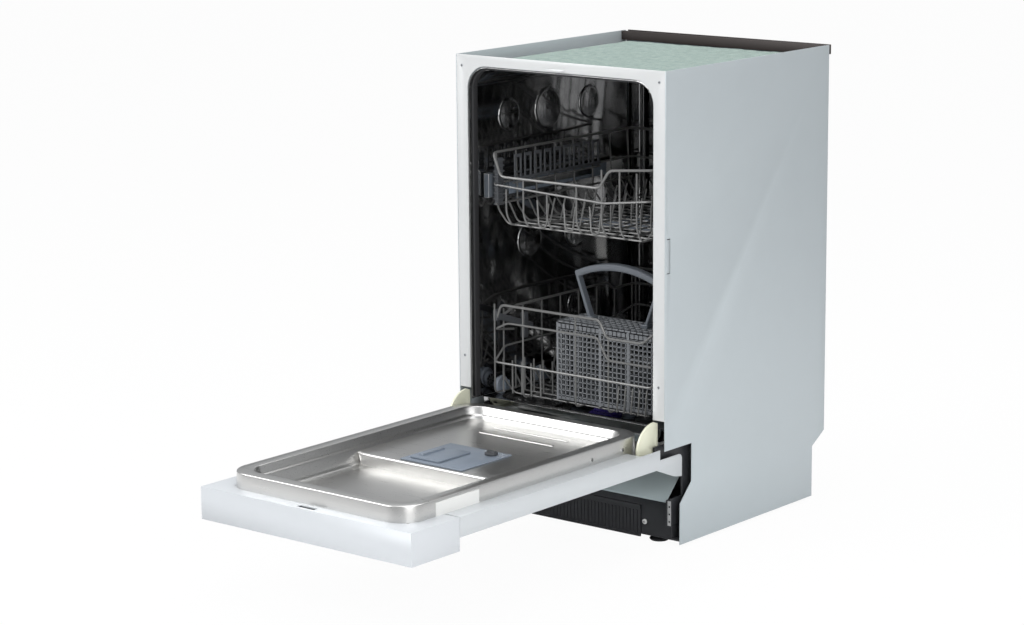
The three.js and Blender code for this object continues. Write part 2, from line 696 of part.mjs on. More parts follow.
function lowerSprayArm() {
  const arm = sprayArm(ARM_HUB_Y, LOWER_ARM_Z, LOWER_ARM_Z + ARM_T + 2);
  const bore = rod(
    [0, ARM_HUB_Y, LOWER_ARM_Z - 1],
    [0, ARM_HUB_Y, LOWER_ARM_Z + ARM_T - 3],
    SPIGOT_R + RUN,
    16,
  );
  return cut(arm, bore);
}

// ================================================================ door
function doorLiner() {
  const base = DOOR_FACE_Z + GAP;
  const y0 = -LINER_END;
  const y1 = -LINER_TAIL;
  const r = LINER_CORNER_R;
  const l = LINER_LEDGE;
  const s = l + LINER_SLOPE;
  const grow = (d, radius, z) => ring(LINER_HALF - d, y0 + d, y1 - d, radius, z, 6);
  const shell = loft([
    grow(s + 4, r - 22, LINER_FLOOR_Z),
    grow(l + 3, r - 16, RIM_Z - 5),
    grow(l, r - 14, RIM_Z),
    grow(3, r - 3, RIM_Z),
    grow(0.5, r, RIM_Z - 3),
    grow(0, r, base),
    grow(SHEET, r - SHEET, base),
    grow(SHEET + 0.5, r - 2, RIM_Z - 4),
    grow(4, r - 4, RIM_Z - SHEET),
    grow(l - 1, r - 14, RIM_Z - SHEET),
    grow(l + 2, r - 15, RIM_Z - 5 - SHEET),
    grow(s + 3, r - 21, LINER_FLOOR_Z - SHEET),
  ]);
  const slope = (s + 4 - l - 3) / (RIM_Z - 5 - LINER_FLOOR_Z);
  const platformEdge = s + 4 - slope * (PLATFORM_Z - LINER_FLOOR_Z);
  const wallMiddle = 0.5; // the platform ends halfway through the sloping wall's thickness
  const raised = loft([
    grow(s + 4 - wallMiddle, r - 22, LINER_FLOOR_Z - SHEET),
    grow(platformEdge - wallMiddle, r - 18, PLATFORM_Z),
  ]);
  const under = loft([
    grow(s + 5, r - 23, LINER_FLOOR_Z - SHEET - 1),
    grow(platformEdge + 1, r - 19, PLATFORM_Z - SHEET),
  ]);
  const behind = (y) => block(-LINER_HALF, LINER_HALF, y, 0, LINER_FLOOR_Z - 3, PLATFORM_Z + 1);
  const platform = meet(raised, behind(PLATFORM_FRONT));
  const hollow = meet(under, behind(PLATFORM_FRONT + SHEET));
  const d = DISPENSER;
  const hole = block(-d.half, d.half, d.front, d.back, PLATFORM_Z - 10, PLATFORM_Z + 10);
  return cut(join(shell, platform), hollow, hole);
}

function doorPanel() {
  const z1 = DOOR_FACE_Z;
  const y0 = FASCIA_BACK + 2;
  const y1 = -DOOR_TAIL;
  const whole = block(-DOOR_HALF, DOOR_HALF, y0, y1, SKIN_Z, z1);
  const inner = block(-DOOR_HALF + SHEET, DOOR_HALF - SHEET, y0 + SHEET, y1 + 1, SKIN_Z + SHEET, z1 - SHEET);
  const x = LINER_HALF - FLANGE_LAP;
  const window = block(-x, x, y0 + SHEET, y1 + 1, z1 - 2 * SHEET, z1 + 1);
  const pass = block(-x, x, y0 - 1, y0 + SHEET + 1, LINER_FLOOR_Z - 6, z1 + 1);
  const lowCut = PIVOT_Y - SECTOR_R - 8;
  const hingeBay = block(-DOOR_HALF + SHEET, DOOR_HALF - SHEET, lowCut, y1 + 1, z1 - 2 * SHEET, z1 + 1);
  const ear = new THREE.Shape();
  ear.moveTo(EAR_FRONT, SKIN_Z);
  ear.lineTo(EAR_BACK - 22, EAR_BOTTOM);
  ear.lineTo(EAR_BACK, EAR_BOTTOM - 4);
  ear.lineTo(EAR_BACK, EAR_TOP - EAR_R);
  ear.absarc(EAR_BACK - EAR_R, EAR_TOP - EAR_R, EAR_R, 0, Math.PI / 2, false);
  ear.lineTo(EAR_FRONT, EAR_TOP);
  const ears = [-1, 1].map((side) => sidePrism(side, ear, DOOR_HALF - SHEET, DOOR_HALF));
  return join(cut(whole, inner, window, pass, hingeBay), ...ears);
}

function controlFascia() {
  const y0 = -DOOR_REACH;
  const whole = block(-HALF, HALF, y0, FASCIA_BACK, FASCIA_Z, DOOR_FACE_Z);
  const x = HALF - WALL;
  const z1 = DOOR_FACE_Z - WALL;
  const inner = block(-x, x, y0 + WALL, FASCIA_BACK + 1, FASCIA_Z + WALL, z1);
  const lip = LINER_HALF - FLANGE_LAP - 2;
  const window = block(-lip, lip, -LINER_END + 14, FASCIA_BACK + 1, z1 - 1, DOOR_FACE_Z + 1);
  const [s0, s1] = STRIKER_X;
  const slot = block(s0 - 3, s1 + 3, STRIKE_Y - 5, STRIKE_Y + 4, z1 - 1, DOOR_FACE_Z + 1);
  const ports = BUTTON_XS.map((bx) =>
    rod([bx, BUTTON_Y, FASCIA_Z - 1], [bx, BUTTON_Y, FASCIA_Z + WALL + 1], BUTTON_R + RUN, 20),
  );
  return cut(whole, inner, window, slot, ...ports);
}

function latch() {
  const [s0, s1] = STRIKER_X;
  const z1 = DOOR_FACE_Z - WALL - GAP;
  const z0 = z1 - 22;
  const body = block(s0 - 11, s1 + 11, STRIKE_Y - 9, STRIKE_Y + 9, z0, z1);
  const pocket = block(s0 - 3, s1 + 3, STRIKE_Y - 5, STRIKE_Y + 4, z0 + 8, z1 + 1);
  return cut(body, pocket);
}

function hingeArm(side) {
  const leaf = new THREE.Shape();
  const foot = SKIN_Z + SHEET + GAP;
  leaf.moveTo(PIVOT_Y + 8, foot + 12);
  leaf.lineTo(PIVOT_Y + 8, PIVOT_Z + SECTOR_R - 3);
  leaf.lineTo(PIVOT_Y, PIVOT_Z + SECTOR_R);
  leaf.absarc(PIVOT_Y, PIVOT_Z, SECTOR_R, Math.PI / 2, Math.PI, false);
  leaf.lineTo(PIVOT_Y - SECTOR_R, foot);
  leaf.lineTo(PIVOT_Y - 6, foot);
  const plate = sidePrism(side, leaf, LEAF_X, LEAF_X + LEAF_T, 10);
  const boreEnd = (x) => [side * x, PIVOT_Y, PIVOT_Z];
  const bore = rod(boreEnd(LEAF_X - 1), boreEnd(LEAF_X + LEAF_T + 1), PIN_R + RUN, 20);
  return cut(plate, bore);
}

function dispenserBody() {
  const d = DISPENSER;
  const lip = PLATFORM_Z + GAP;
  const box = block(-d.half + GAP, d.half - GAP, d.front + GAP, d.back - GAP, SKIN_Z + SHEET + GAP, lip + 2);
  const flange = block(-d.half - 4, d.half + 4, d.front - 4, d.back + 4, lip, lip + 2);
  const cup = block(d.cup[0], d.cup[1], d.cup[2], d.cup[3], lip + 2 - d.depth, lip + 3);
  return cut(join(box, flange), cup);
}

function dispenserLid() {
  const d = DISPENSER;
  const z = PLATFORM_Z + 2 + 2 * GAP;
  const plate = block(d.cup[0] - 3, d.cup[1] + 3, d.cup[2] - 3, d.cup[3] + 3, z, z + 3);
  const grip = block(d.cup[0] + 4, d.cup[0] + 14, d.cup[2] + 10, d.cup[3] - 10, z + 2, z + 6);
  return join(plate, grip);
}

function rinseCap() {
  const z = PLATFORM_Z + 2 + 2 * GAP;
  const cap = rod([RINSE_X, RINSE_Y, z], [RINSE_X, RINSE_Y, z + 4], RINSE_R, 20);
  const bar = block(RINSE_X - 8, RINSE_X + 8, RINSE_Y - 2, RINSE_Y + 2, z + 3, z + 7);
  return join(cap, bar);
}

function pushButton(x) {
  const z = FASCIA_Z;
  const stem = rod([x, BUTTON_Y, z - BUTTON_PROUD], [x, BUTTON_Y, z + WALL + 6], BUTTON_R, 20);
  const collar = rod([x, BUTTON_Y, z + WALL + GAP], [x, BUTTON_Y, z + WALL + 2], BUTTON_R + 2, 20);
  return join(stem, collar);
}

// ================================================================ runners of the upper basket
function railGuide(side) {
  const z0 = RAIL_Z - RUN - GUIDE_LIP;
  const z1 = RAIL_Z + RAIL_H + RUN + GUIDE_LIP;
  const y1 = GUIDE_FRONT + GUIDE_LENGTH;
  const whole = sideBlock(side, RAIL_IN + 1, TUB_HALF - GAP, GUIDE_FRONT, y1, z0, z1);
  const wayTop = RAIL_Z + RAIL_H + RUN;
  const way = sideBlock(side, RAIL_IN - 5, RAIL_OUT + RUN, GUIDE_FRONT - 1, y1 + 1, RAIL_Z - RUN, wayTop);
  return cut(whole, way);
}

function rail(side) {
  const top = RAIL_Z + RAIL_H;
  const y0 = BASKET_FRONT + CAP_L / 2;
  const bar = sideBlock(side, RAIL_IN, RAIL_OUT, y0, RAIL_BACK, RAIL_Z, top);
  const x = RAIL_OUT - RAIL_T;
  const groove = sideBlock(side, RAIL_IN - 1, x, y0 - 1, RAIL_BACK + 1, RAIL_Z + RAIL_T, top - RAIL_T);
  const capBack = BASKET_FRONT + CAP_L;
  const cap = sideBlock(side, RAIL_IN - 0.5, RAIL_OUT, BASKET_FRONT, capBack, RAIL_Z, top + CAP_RISE);
  return join(cut(bar, groove), cap);
}

// The bracket on the basket's side, with two rollers that run inside the rail.
function hanger(side) {
  const z = RAIL_Z + RAIL_H / 2;
  const near = UPPER_HALF + WIRE_R + GAP;
  const [y0, y1] = ROLLER_YS;
  const plate = sideBlock(side, near, near + HANGER_T, y0 - 14, y1 + 14, z - 11, z + 11);
  const slot = sideBlock(side, near - 1, near + HANGER_T + 1, y0 + 24, y1 - 24, z - 5, z + 5);
  const rollerR = RAIL_H / 2 - RAIL_T - RUN;
  const rollers = ROLLER_YS.map((y) => {
    return rod([side * (near + 1), y, z], [side * (RAIL_OUT - RAIL_T - RUN), y, z], rollerR, 16);
  });
  return join(cut(plate, slot), ...rollers);
}

// ================================================================ wire baskets
function spread(count, from, to) {
  return Array.from({ length: count }, (_, i) => from + ((to - from) * i) / (count - 1));
}

// The places of a row of wires between two edges, the edges left out.
const between = (count, from, to) => spread(count + 2, from, to).slice(1, -1);

function hoop(half, y0, y1, z, radius) {
  return bentBar([[-half, y0, z], [half, y0, z], [half, y1, z], [-half, y1, z], [-half, y0, z]], radius);
}

// A flat grid of wires inside a rectangle, its cross wires lying on its long wires.
function grid(half, y0, y1, z, acrossCount, alongCount) {
  const low = z - CROSS_DROP;
  const across = between(acrossCount, y0, y1).map((y) => rod([-half, y, z], [half, y, z], WIRE_R));
  const along = between(alongCount, -half, half).map((x) => rod([x, y0, low], [x, y1, low], CROSS_WIRE_R));
  return join(hoop(half, y0, y1, z, WIRE_R), ...across, ...along);
}

function lowerFloor() {
  const inset = RIM_WIRE_R + WIRE_R + GAP;
  const half = LOWER_HALF - inset;
  return grid(half, BASKET_FRONT + inset, LOWER_BACK - inset, LOWER_BOTTOM, 7, 6);
}

function lowerWalls() {
  const h = LOWER_HALF;
  const [y0, y1] = [BASKET_FRONT, LOWER_BACK];
  const upright = (x, y, z0, z1) => rod([x, y, z0], [x, y, z1], CROSS_WIRE_R);
  const dipX = [h * 0.4, h * 0.5, h - 8];
  const rim = bentBar(
    [
      [-h, y1, LOWER_STAND],
      [-h, y1 - 60, LOWER_STAND],
      [-h, y1 - 80, LOWER_RIM],
      [-h, y0, LOWER_FRONT_RIM],
      [dipX[0], y0, LOWER_FRONT_RIM],
      [dipX[1], y0, LOWER_DIP],
      [dipX[2], y0, LOWER_DIP],
      [h, y0, LOWER_RIM],
      [h, y1 - 80, LOWER_RIM],
      [h, y1 - 60, LOWER_STAND],
      [h, y1, LOWER_STAND],
      [-h, y1, LOWER_STAND],
    ],
    RIM_WIRE_R,
  );
  const sideTop = (y) => (y > y1 - 60 ? LOWER_STAND : LOWER_RIM);
  const sideYs = [...WHEEL_YS, y0 + 86, y0 + 221];
  const axle = (side, y) => {
    return rod([side * (h - 3), y, WHEEL_Z], [side * (WHEEL_IN + WHEEL_W - 2), y, WHEEL_Z], AXLE_R, 12);
  };
  const sideWires = [-1, 1].flatMap((side) => [
    ...sideYs.map((y) => upright(side * h, y, LOWER_BOTTOM, sideTop(y))),
    ...WHEEL_YS.map((y) => axle(side, y)),
  ]);
  const frontTop = (x) => (x > dipX[1] ? LOWER_DIP : LOWER_FRONT_RIM);
  const xs = between(3, -h, h);
  const posts = [
    [-h, y0, LOWER_FRONT_RIM],
    [h, y0, LOWER_RIM],
    [-h, y1, LOWER_STAND],
    [h, y1, LOWER_STAND],
  ];
  return join(
    hoop(h, y0, y1, LOWER_BOTTOM, RIM_WIRE_R),
    hoop(h, y0, y1, LOWER_MID, WIRE_R),
    rim,
    ...sideWires,
    ...xs.map((x) => upright(x, y0, LOWER_BOTTOM, frontTop(x))),
    ...xs.map((x) => upright(x, y1, LOWER_BOTTOM, LOWER_STAND)),
    ...posts.map(([x, y, z]) => upright(x, y, LOWER_BOTTOM, z)),
  );
}

function wheel() {
  const half = WHEEL_W / 2;
  const bore = AXLE_R + GAP;
  const profile = [
    [bore, -half],
    [WHEEL_R - 2, -half],
    [WHEEL_R, -half + 2],
    [WHEEL_R, half - 4],
    [WHEEL_R - 3, half],
    [bore, half],
    [bore, -half],
  ];
  const points = profile.map(([r, z]) => new THREE.Vector2(r, z));
  const geometry = new THREE.LatheGeometry(points, 18);
  geometry.rotateZ(-Math.PI / 2); // the axle lies along x
  return outward(geometry);
}

function upperFloor() {
  const inset = RIM_WIRE_R + WIRE_R + GAP;
  const half = UPPER_HALF - inset;
  return grid(half, BASKET_FRONT + inset, UPPER_BACK - inset, UPPER_BOTTOM, 7, 6);
}

function upperWalls() {
  const h = UPPER_HALF;
  const [y0, y1] = [BASKET_FRONT, UPPER_BACK];
  const upright = (x, y, z0, z1) => rod([x, y, z0], [x, y, z1], CROSS_WIRE_R);
  const dip = [-h + 20, h * 0.35, h * 0.46];
  const rim = bentBar(
    [
      [-h, y0, UPPER_RIM],
      [dip[0], y0, UPPER_DIP],
      [dip[1], y0, UPPER_DIP],
      [dip[2], y0, UPPER_RIM - 8],
      [h, y0, UPPER_RIM],
      [h, y1, UPPER_RIM],
      [-h, y1, UPPER_RIM],
      [-h, y0, UPPER_RIM],
    ],
    RIM_WIRE_R,
  );
  const ys = between(5, y0, y1);
  const xs = between(4, -h, h);
  const frontTop = (x) => (x > dip[1] ? UPPER_RIM - 8 : UPPER_DIP);
  const hookEnd = SHELF_X - SHELF_T / 2 - GAP;
  const corners = [[-h, y0], [h, y0], [-h, y1], [h, y1]];
  return join(
    hoop(h, y0, y1, UPPER_BOTTOM, RIM_WIRE_R),
    hoop(h, y0, y1, UPPER_MID, WIRE_R),
    rim,
    ...[-h, h].flatMap((x) => ys.map((y) => upright(x, y, UPPER_BOTTOM, UPPER_RIM))),
    ...xs.map((x) => upright(x, y0, UPPER_BOTTOM, frontTop(x))),
    ...xs.map((x) => upright(x, y1, UPPER_BOTTOM, UPPER_RIM)),
    ...corners.map(([x, y]) => upright(x, y, UPPER_BOTTOM, UPPER_RIM)),
    ...[ys[1], ys[3]].map((y) => rod([-h, y, SHELF_Z], [hookEnd, y, SHELF_Z], WIRE_R)),
  );
}

function cupShelf() {
  const z0 = SHELF_Z - SHELF_T / 4; // low corners stay clear of the hooks as it folds
  const y1 = SHELF_FRONT + SHELF_LENGTH;
  const [x0, x1, z1] = [SHELF_X - SHELF_T / 2, SHELF_X + SHELF_T / 2, SHELF_Z + SHELF_RISE];
  const plate = block(x0, x1, SHELF_FRONT, y1, z0, z1);
  const pitch = SHELF_LENGTH / SHELF_FINGERS;
  const openings = spread(SHELF_FINGERS, SHELF_FRONT, y1 - pitch).flatMap((y) => [
    block(x0 - 1, x1 + 1, y + 5, y + pitch - 17, SHELF_Z + 7, z1 - 5),
    block(x0 - 1, x1 + 1, y + pitch - 12, y + pitch, SHELF_Z + 7, z1 + 1),
  ]);
  return cut(plate, ...openings);
}

function upperFeedPipe() {
  const z1 = UPPER_BOTTOM - RIM_WIRE_R - GAP;
  const duct = block(-PIPE_HALF, PIPE_HALF, ARM_HUB_Y - PIPE_HALF, TUB_BACK - 12, z1 - PIPE_H, z1);
  const x = PIPE_HALF - 2;
  const inner = block(-x, x, ARM_HUB_Y - x, TUB_BACK - 11, z1 - PIPE_H + 1.6, z1 - 1.6);
  return cut(duct, inner);
}

function upperSprayArm() {
  const top = UPPER_BOTTOM - RIM_WIRE_R - GAP - PIPE_H - RUN;
  return sprayArm(ARM_HUB_Y, top - ARM_T - 2, top);
}

// ================================================================ cutlery basket
const CUTLERY_BOTTOM = LOWER_BOTTOM + WIRE_R + GAP;
const CUTLERY_TOP = CUTLERY_BOTTOM + CUTLERY_HEIGHT;
const CUTLERY_X0 = CUTLERY_X - CUTLERY_LENGTH / 2;
const CUTLERY_X1 = CUTLERY_X + CUTLERY_LENGTH / 2;
const CUTLERY_BACK = CUTLERY_FRONT + CUTLERY_WIDTH;

function cutleryBasket() {
  const w = CUTLERY_WALL;
  const whole = block(CUTLERY_X0, CUTLERY_X1, CUTLERY_FRONT, CUTLERY_BACK, CUTLERY_BOTTOM, CUTLERY_TOP);
  const [y0, y1] = [CUTLERY_FRONT + w, CUTLERY_BACK - w];
  const inner = block(CUTLERY_X0 + w, CUTLERY_X1 - w, y0, y1, CUTLERY_BOTTOM + w, CUTLERY_TOP + 1);
  return cut(whole, inner);
}

function cutleryLid() {
  const z = CUTLERY_TOP + GAP;
  const plate = block(CUTLERY_X0, CUTLERY_X1, CUTLERY_FRONT, CUTLERY_BACK, z, z + LID_T);
  const cells = [];
  for (const x of spread(9, CUTLERY_X0 + 14, CUTLERY_X1 - 14)) {
    if (Math.abs(Math.abs(x - CUTLERY_X) - HANDLE_FEET / 2) < 12) continue;
    for (const y of spread(3, CUTLERY_FRONT + 14, CUTLERY_BACK - 14)) {
      cells.push(block(x - 7, x + 7, y - 8, y + 8, z - 1, z + LID_T + 1));
    }
  }
  return cut(plate, ...cells);
}

// A flat arch: two straight legs that lean outwards and a curved bar over them.
function cutleryHandle() {
  const z = CUTLERY_TOP + GAP + LID_T + GAP;
  const foot = HANDLE_FEET / 2;
  const span = HANDLE_SPAN / 2;
  const t = HANDLE_T / 2;
  const archR = (span ** 2 + (HANDLE_RISE - HANDLE_SHOULDER) ** 2) / (2 * (HANDLE_RISE - HANDLE_SHOULDER));
  const centre = z + HANDLE_RISE - archR;
  const lean = Math.asin(span / archR);
  const innerR = archR - HANDLE_BAR;
  const innerSpan = span - HANDLE_T - 2;
  const innerLean = Math.asin(innerSpan / innerR);
  const up = Math.PI / 2;
  const outline = new THREE.Shape();
  outline.moveTo(CUTLERY_X + foot + t, z);
  outline.lineTo(CUTLERY_X + span - 2, z + HANDLE_SHOULDER - HANDLE_BAR / 2);
  outline.absarc(CUTLERY_X, centre, archR, up - lean, up + lean, false);
  outline.lineTo(CUTLERY_X - span + 2, z + HANDLE_SHOULDER - HANDLE_BAR / 2);
  outline.lineTo(CUTLERY_X - foot - t, z);
  outline.lineTo(CUTLERY_X - foot + t, z);
  outline.absarc(CUTLERY_X, centre, innerR, up + innerLean, up - innerLean, true);
  outline.lineTo(CUTLERY_X + foot - t, z);
  const middle = (CUTLERY_FRONT + CUTLERY_BACK) / 2;
  const arch = prism('y', outline, middle - HANDLE_T, middle + HANDLE_T, 16);
  const feet = [-1, 1].map((side) => {
    const x = CUTLERY_X + side * foot;
    return block(x - 7, x + 7, middle - 9, middle + 9, z, z + HANDLE_T);
  });
  return join(arch, ...feet);
}

// ================================================================ assembly
const dishwasher = new THREE.Group();
dishwasher.position.y = (DOOR_REACH - OVERALL_BACK) / 2;

const finishes = {
  panel: { color: 0xc6ccd0, roughness: 0.45, metalness: 0.2 },
  frame: { color: 0xd8d9d8, roughness: 0.4, metalness: 0.3 },
  stainless: { color: 0xa9a8a4, roughness: 0.28, metalness: 1 },
  zinc: { color: 0x8f9a9e, roughness: 0.4, metalness: 0.9 },
  cream: { color: 0xe1dcbe, roughness: 0.5, metalness: 0.1 },
  black: { color: 0x2d2d32, roughness: 0.6, metalness: 0 },
  felt: { color: 0xa0b4af, roughness: 0.95, metalness: 0 },
  rubber: { color: 0x3a3a3c, roughness: 0.8, metalness: 0 },
  darkRail: { color: 0x322a28, roughness: 0.6, metalness: 0.2 },
  wire: { color: 0x82807c, roughness: 0.4, metalness: 0.4 },
  slate: { color: 0x8c96a5, roughness: 0.5, metalness: 0 },
  lattice: { color: 0x8c9196, roughness: 0.5, metalness: 0 },
  charcoal: { color: 0x46484c, roughness: 0.5, metalness: 0 },
  fascia: { color: 0xd6dce0, roughness: 0.35, metalness: 0.1 },
  cap: { color: 0x2a2468, roughness: 0.4, metalness: 0 },
  white: { color: 0xe2e2de, roughness: 0.5, metalness: 0 },
};

// Adds one named sub-part; a solid built round its own origin is put at a place.
function add(name, solid, finish, position = [0, 0, 0]) {
  const mesh = new THREE.Mesh(toGeometry(solid), new THREE.MeshStandardMaterial(finishes[finish]));
  mesh.name = name;
  mesh.position.set(...position);
  dishwasher.add(mesh);
}

for (const [name, side] of [['left', -1], ['right', 1]]) {
  add(`side_panel_${name}`, sidePanel(side), 'panel');
  add(`hinge_mount_${name}`, hingeMount(side), 'zinc');
  add(`foot_front_${name}`, frontFoot(side), 'black');
  add(`rail_guide_${name}`, railGuide(side), 'charcoal');
  add(`rail_${name}`, rail(side), 'stainless');
  add(`hanger_${name}`, hanger(side), 'slate');
  add(`hinge_arm_${name}`, hingeArm(side), 'cream');
  WHEEL_YS.forEach((y, i) => {
    add(`wheel_${name}_${i + 1}`, wheel(), 'slate', [side * (WHEEL_IN + WHEEL_W / 2), y, WHEEL_Z]);
  });
}
add('front_frame', frontFrame(), 'frame');
add('rear_panel', rearPanel(), 'zinc');
add('rear_rail', rearRail(), 'darkRail');
add('insulation_mat', insulationMat(), 'felt');
add('tub_wrapper', tubWrapper(), 'stainless');
add('tub_back', tubBack(), 'stainless');
add('tub_floor', tubFloor(), 'stainless');
add('door_seal', doorSeal(), 'rubber');
add('base_tray', baseTray(), 'black');
add('base_deck', baseDeck(), 'zinc');
add('kick_cover', kickCover(), 'black');
add('foot_rear', rearFoot(), 'black');
add('sump', sump(), 'white');
add('circulation_pump', circulationPump(), 'charcoal');
add('water_softener', waterSoftener(), 'white');
add('inlet_valve', inletValve(), 'white');
add('filter_cup', filterCup(), 'charcoal');
add('salt_cap', saltCap(), 'cap');
add('lower_spray_arm', lowerSprayArm(), 'slate');

add('door_liner', doorLiner(), 'stainless');
add('door_panel', doorPanel(), 'panel');
add('control_fascia', controlFascia(), 'fascia');
add('latch', latch(), 'charcoal');
add('dispenser_body', dispenserBody(), 'slate');
add('dispenser_lid', dispenserLid(), 'slate');
add('rinse_cap', rinseCap(), 'charcoal');
add('power_button', pushButton(BUTTON_XS[0]), 'slate');
add('start_button', pushButton(BUTTON_XS[1]), 'slate');

add('upper_basket_floor', upperFloor(), 'wire');
add('upper_basket_walls', upperWalls(), 'wire');
add('cup_shelf', cupShelf(), 'charcoal');
add('upper_feed_pipe', upperFeedPipe(), 'slate');
add('upper_spray_arm', upperSprayArm(), 'slate');

add('lower_basket_floor', lowerFloor(), 'wire');
add('lower_basket_walls', lowerWalls(), 'wire');
add('cutlery_basket', cutleryBasket(), 'lattice');
add('cutlery_lid', cutleryLid(), 'lattice');
add('cutlery_handle', cutleryHandle(), 'slate');

export default dishwasher;
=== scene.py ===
"""Looks for the slimline built-in dishwasher.

Places are written in the cabinet's own millimetres: x = 0 is the middle, y = 0 the face of the
front frame with -Y towards the user, z = 0 the floor. at() turns them into the row frame.
"""

import json
import math

import bmesh
import bpy
from mathutils import Matrix, Vector, noise


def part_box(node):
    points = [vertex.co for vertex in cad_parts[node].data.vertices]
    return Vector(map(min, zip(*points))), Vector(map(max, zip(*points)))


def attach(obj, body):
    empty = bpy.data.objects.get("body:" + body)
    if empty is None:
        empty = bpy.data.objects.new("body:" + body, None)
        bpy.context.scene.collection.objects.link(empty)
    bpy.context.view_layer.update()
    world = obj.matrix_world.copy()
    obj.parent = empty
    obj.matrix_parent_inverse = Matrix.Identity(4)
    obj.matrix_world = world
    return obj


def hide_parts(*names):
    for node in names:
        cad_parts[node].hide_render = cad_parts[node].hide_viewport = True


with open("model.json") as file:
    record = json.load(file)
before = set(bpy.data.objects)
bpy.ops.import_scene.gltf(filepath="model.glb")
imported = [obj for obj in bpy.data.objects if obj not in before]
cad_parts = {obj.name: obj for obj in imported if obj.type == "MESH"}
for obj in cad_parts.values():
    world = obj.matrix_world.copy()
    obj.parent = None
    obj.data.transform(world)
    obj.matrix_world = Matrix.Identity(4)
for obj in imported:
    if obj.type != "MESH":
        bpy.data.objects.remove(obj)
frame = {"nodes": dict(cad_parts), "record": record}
nodes = frame["nodes"]

MM = 0.001
SIDES = (-1, 1)
SIDE_NAME = {-1: "left", 1: "right"}
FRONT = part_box("side_panel_right")[0].y


def at(x, y, z):
    return Vector((x * MM, y * MM + FRONT, z * MM))


def limits(node):
    """A CAD node's box in the cabinet's millimetres: x0, x1, y0, y1, z0, z1."""
    lo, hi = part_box(node)
    ys = ((lo.y - FRONT) / MM, (hi.y - FRONT) / MM)
    return lo.x / MM, hi.x / MM, *ys, lo.z / MM, hi.z / MM


def spread(count, first, last):
    return [first + (last - first) * i / (count - 1) for i in range(count)]


# ---------------------------------------------------------------- sizes shared by several pieces
_, HALF, _, PANEL_BACK, _, HEIGHT = limits("side_panel_right")
_, LINER_X1, LINER_Y0, LINER_Y1, LINER_Z0, RIM_Z = limits("door_liner")
WHEEL_X0, WHEEL_X1, _, _, WHEEL_Z0, WHEEL_Z1 = limits("wheel_right_1")
WHEEL_R = (WHEEL_Z1 - WHEEL_Z0) / 2
WHEEL_Z = (WHEEL_Z1 + WHEEL_Z0) / 2
WHEEL_SPOKES = 8
PLATFORM_FRONT = -345  # where the liner's raised rear part begins
PLATFORM_Z = 188  # and its top
RIM_R = 2.4  # top wires of the baskets
WIRE_R = 1.9  # other long wires
CROSS_R = 1.6  # uprights, floor wires and tines
BEND = 9  # how far before a corner a wire starts to bend
LATTICE_PITCH = 9.2  # of the cutlery basket
EDGE = 0.45  # rounding of the CAD pieces' edges
FASCIA_EDGE = 1.2


# ================================================================ materials
class Nodes:
    """A small wrapper that adds and links shader nodes."""

    def __init__(self, name):
        self.material = bpy.data.materials.new(name)
        self.material.use_nodes = True
        self.tree = self.material.node_tree
        self.shader = self.tree.nodes["Principled BSDF"]
        self.coords = self.tree.nodes.new("ShaderNodeTexCoord").outputs["Object"]

    def add(self, kind, **values):
        made = self.tree.nodes.new("ShaderNode" + kind)
        for key, value in values.items():
            if key in made.inputs:
                made.inputs[key].default_value = value
            else:
                setattr(made, key, value)
        return made

    def link(self, output, socket):
        self.tree.links.new(output, socket)

    def noise(self, scale, stretch=(1, 1, 1), detail=3.0):
        mapping = self.add("Mapping", Scale=stretch)
        self.link(self.coords, mapping.inputs["Vector"])
        texture = self.add("TexNoise", Scale=scale, Detail=detail)
        self.link(mapping.outputs["Vector"], texture.inputs["Vector"])
        return texture.outputs["Fac"]

    def ranged(self, value, low, high):
        mapped = self.add("MapRange")
        mapped.inputs["To Min"].default_value = low
        mapped.inputs["To Max"].default_value = high
        self.link(value, mapped.inputs["Value"])
        return mapped.outputs["Result"]

    def shade(self, value, dark, light):
        mix = self.add("MixRGB")
        mix.inputs["Color1"].default_value = (*dark, 1)
        mix.inputs["Color2"].default_value = (*light, 1)
        self.link(value, mix.inputs["Fac"])
        return mix.outputs["Color"]

    def bump(self, height, distance, strength=1.0):
        node = self.add("Bump", Strength=strength, Distance=distance)
        self.link(height, node.inputs["Height"])
        self.link(node.outputs["Normal"], self.shader.inputs["Normal"])
        return node

    def set(self, **values):
        for key, value in values.items():
            self.shader.inputs[key.replace("_", " ")].default_value = value


def tinted(color, factor):
    return tuple(min(1.0, c * factor) for c in color)


def surface(name, color, roughness, metallic=0.0, scale=60.0, stretch=(1, 1, 1), uneven=0.05, shade=0.04,
            bump=0.0, coat=0.0):
    """A plain finish with a little uneven colour, gloss and relief."""
    made = Nodes(name)
    grain = made.noise(scale, stretch)
    made.set(Metallic=metallic, Coat_Weight=coat)
    made.link(made.ranged(grain, roughness - uneven, roughness + uneven), made.shader.inputs["Roughness"])
    colors = made.shade(grain, tinted(color, 1 - shade), tinted(color, 1 + shade))
    made.link(colors, made.shader.inputs["Base Color"])
    if bump:
        made.bump(grain, bump)
    return made.material


def felt_material():
    made = Nodes("felt")
    fibres = made.noise(900.0, detail=6.0)
    patches = made.noise(70.0)
    flecks = made.shade(fibres, (0.13, 0.165, 0.155), (0.70, 0.80, 0.74))
    tone = made.shade(patches, (0.45, 0.52, 0.52), (0.95, 1.0, 0.98))
    mix = made.add("MixRGB", blend_type="MULTIPLY", Fac=1.0)
    made.link(flecks, mix.inputs["Color1"])
    made.link(tone, mix.inputs["Color2"])
    made.link(mix.outputs["Color"], made.shader.inputs["Base Color"])
    made.set(Roughness=0.95)
    made.bump(fibres, 0.0012)
    return made.material


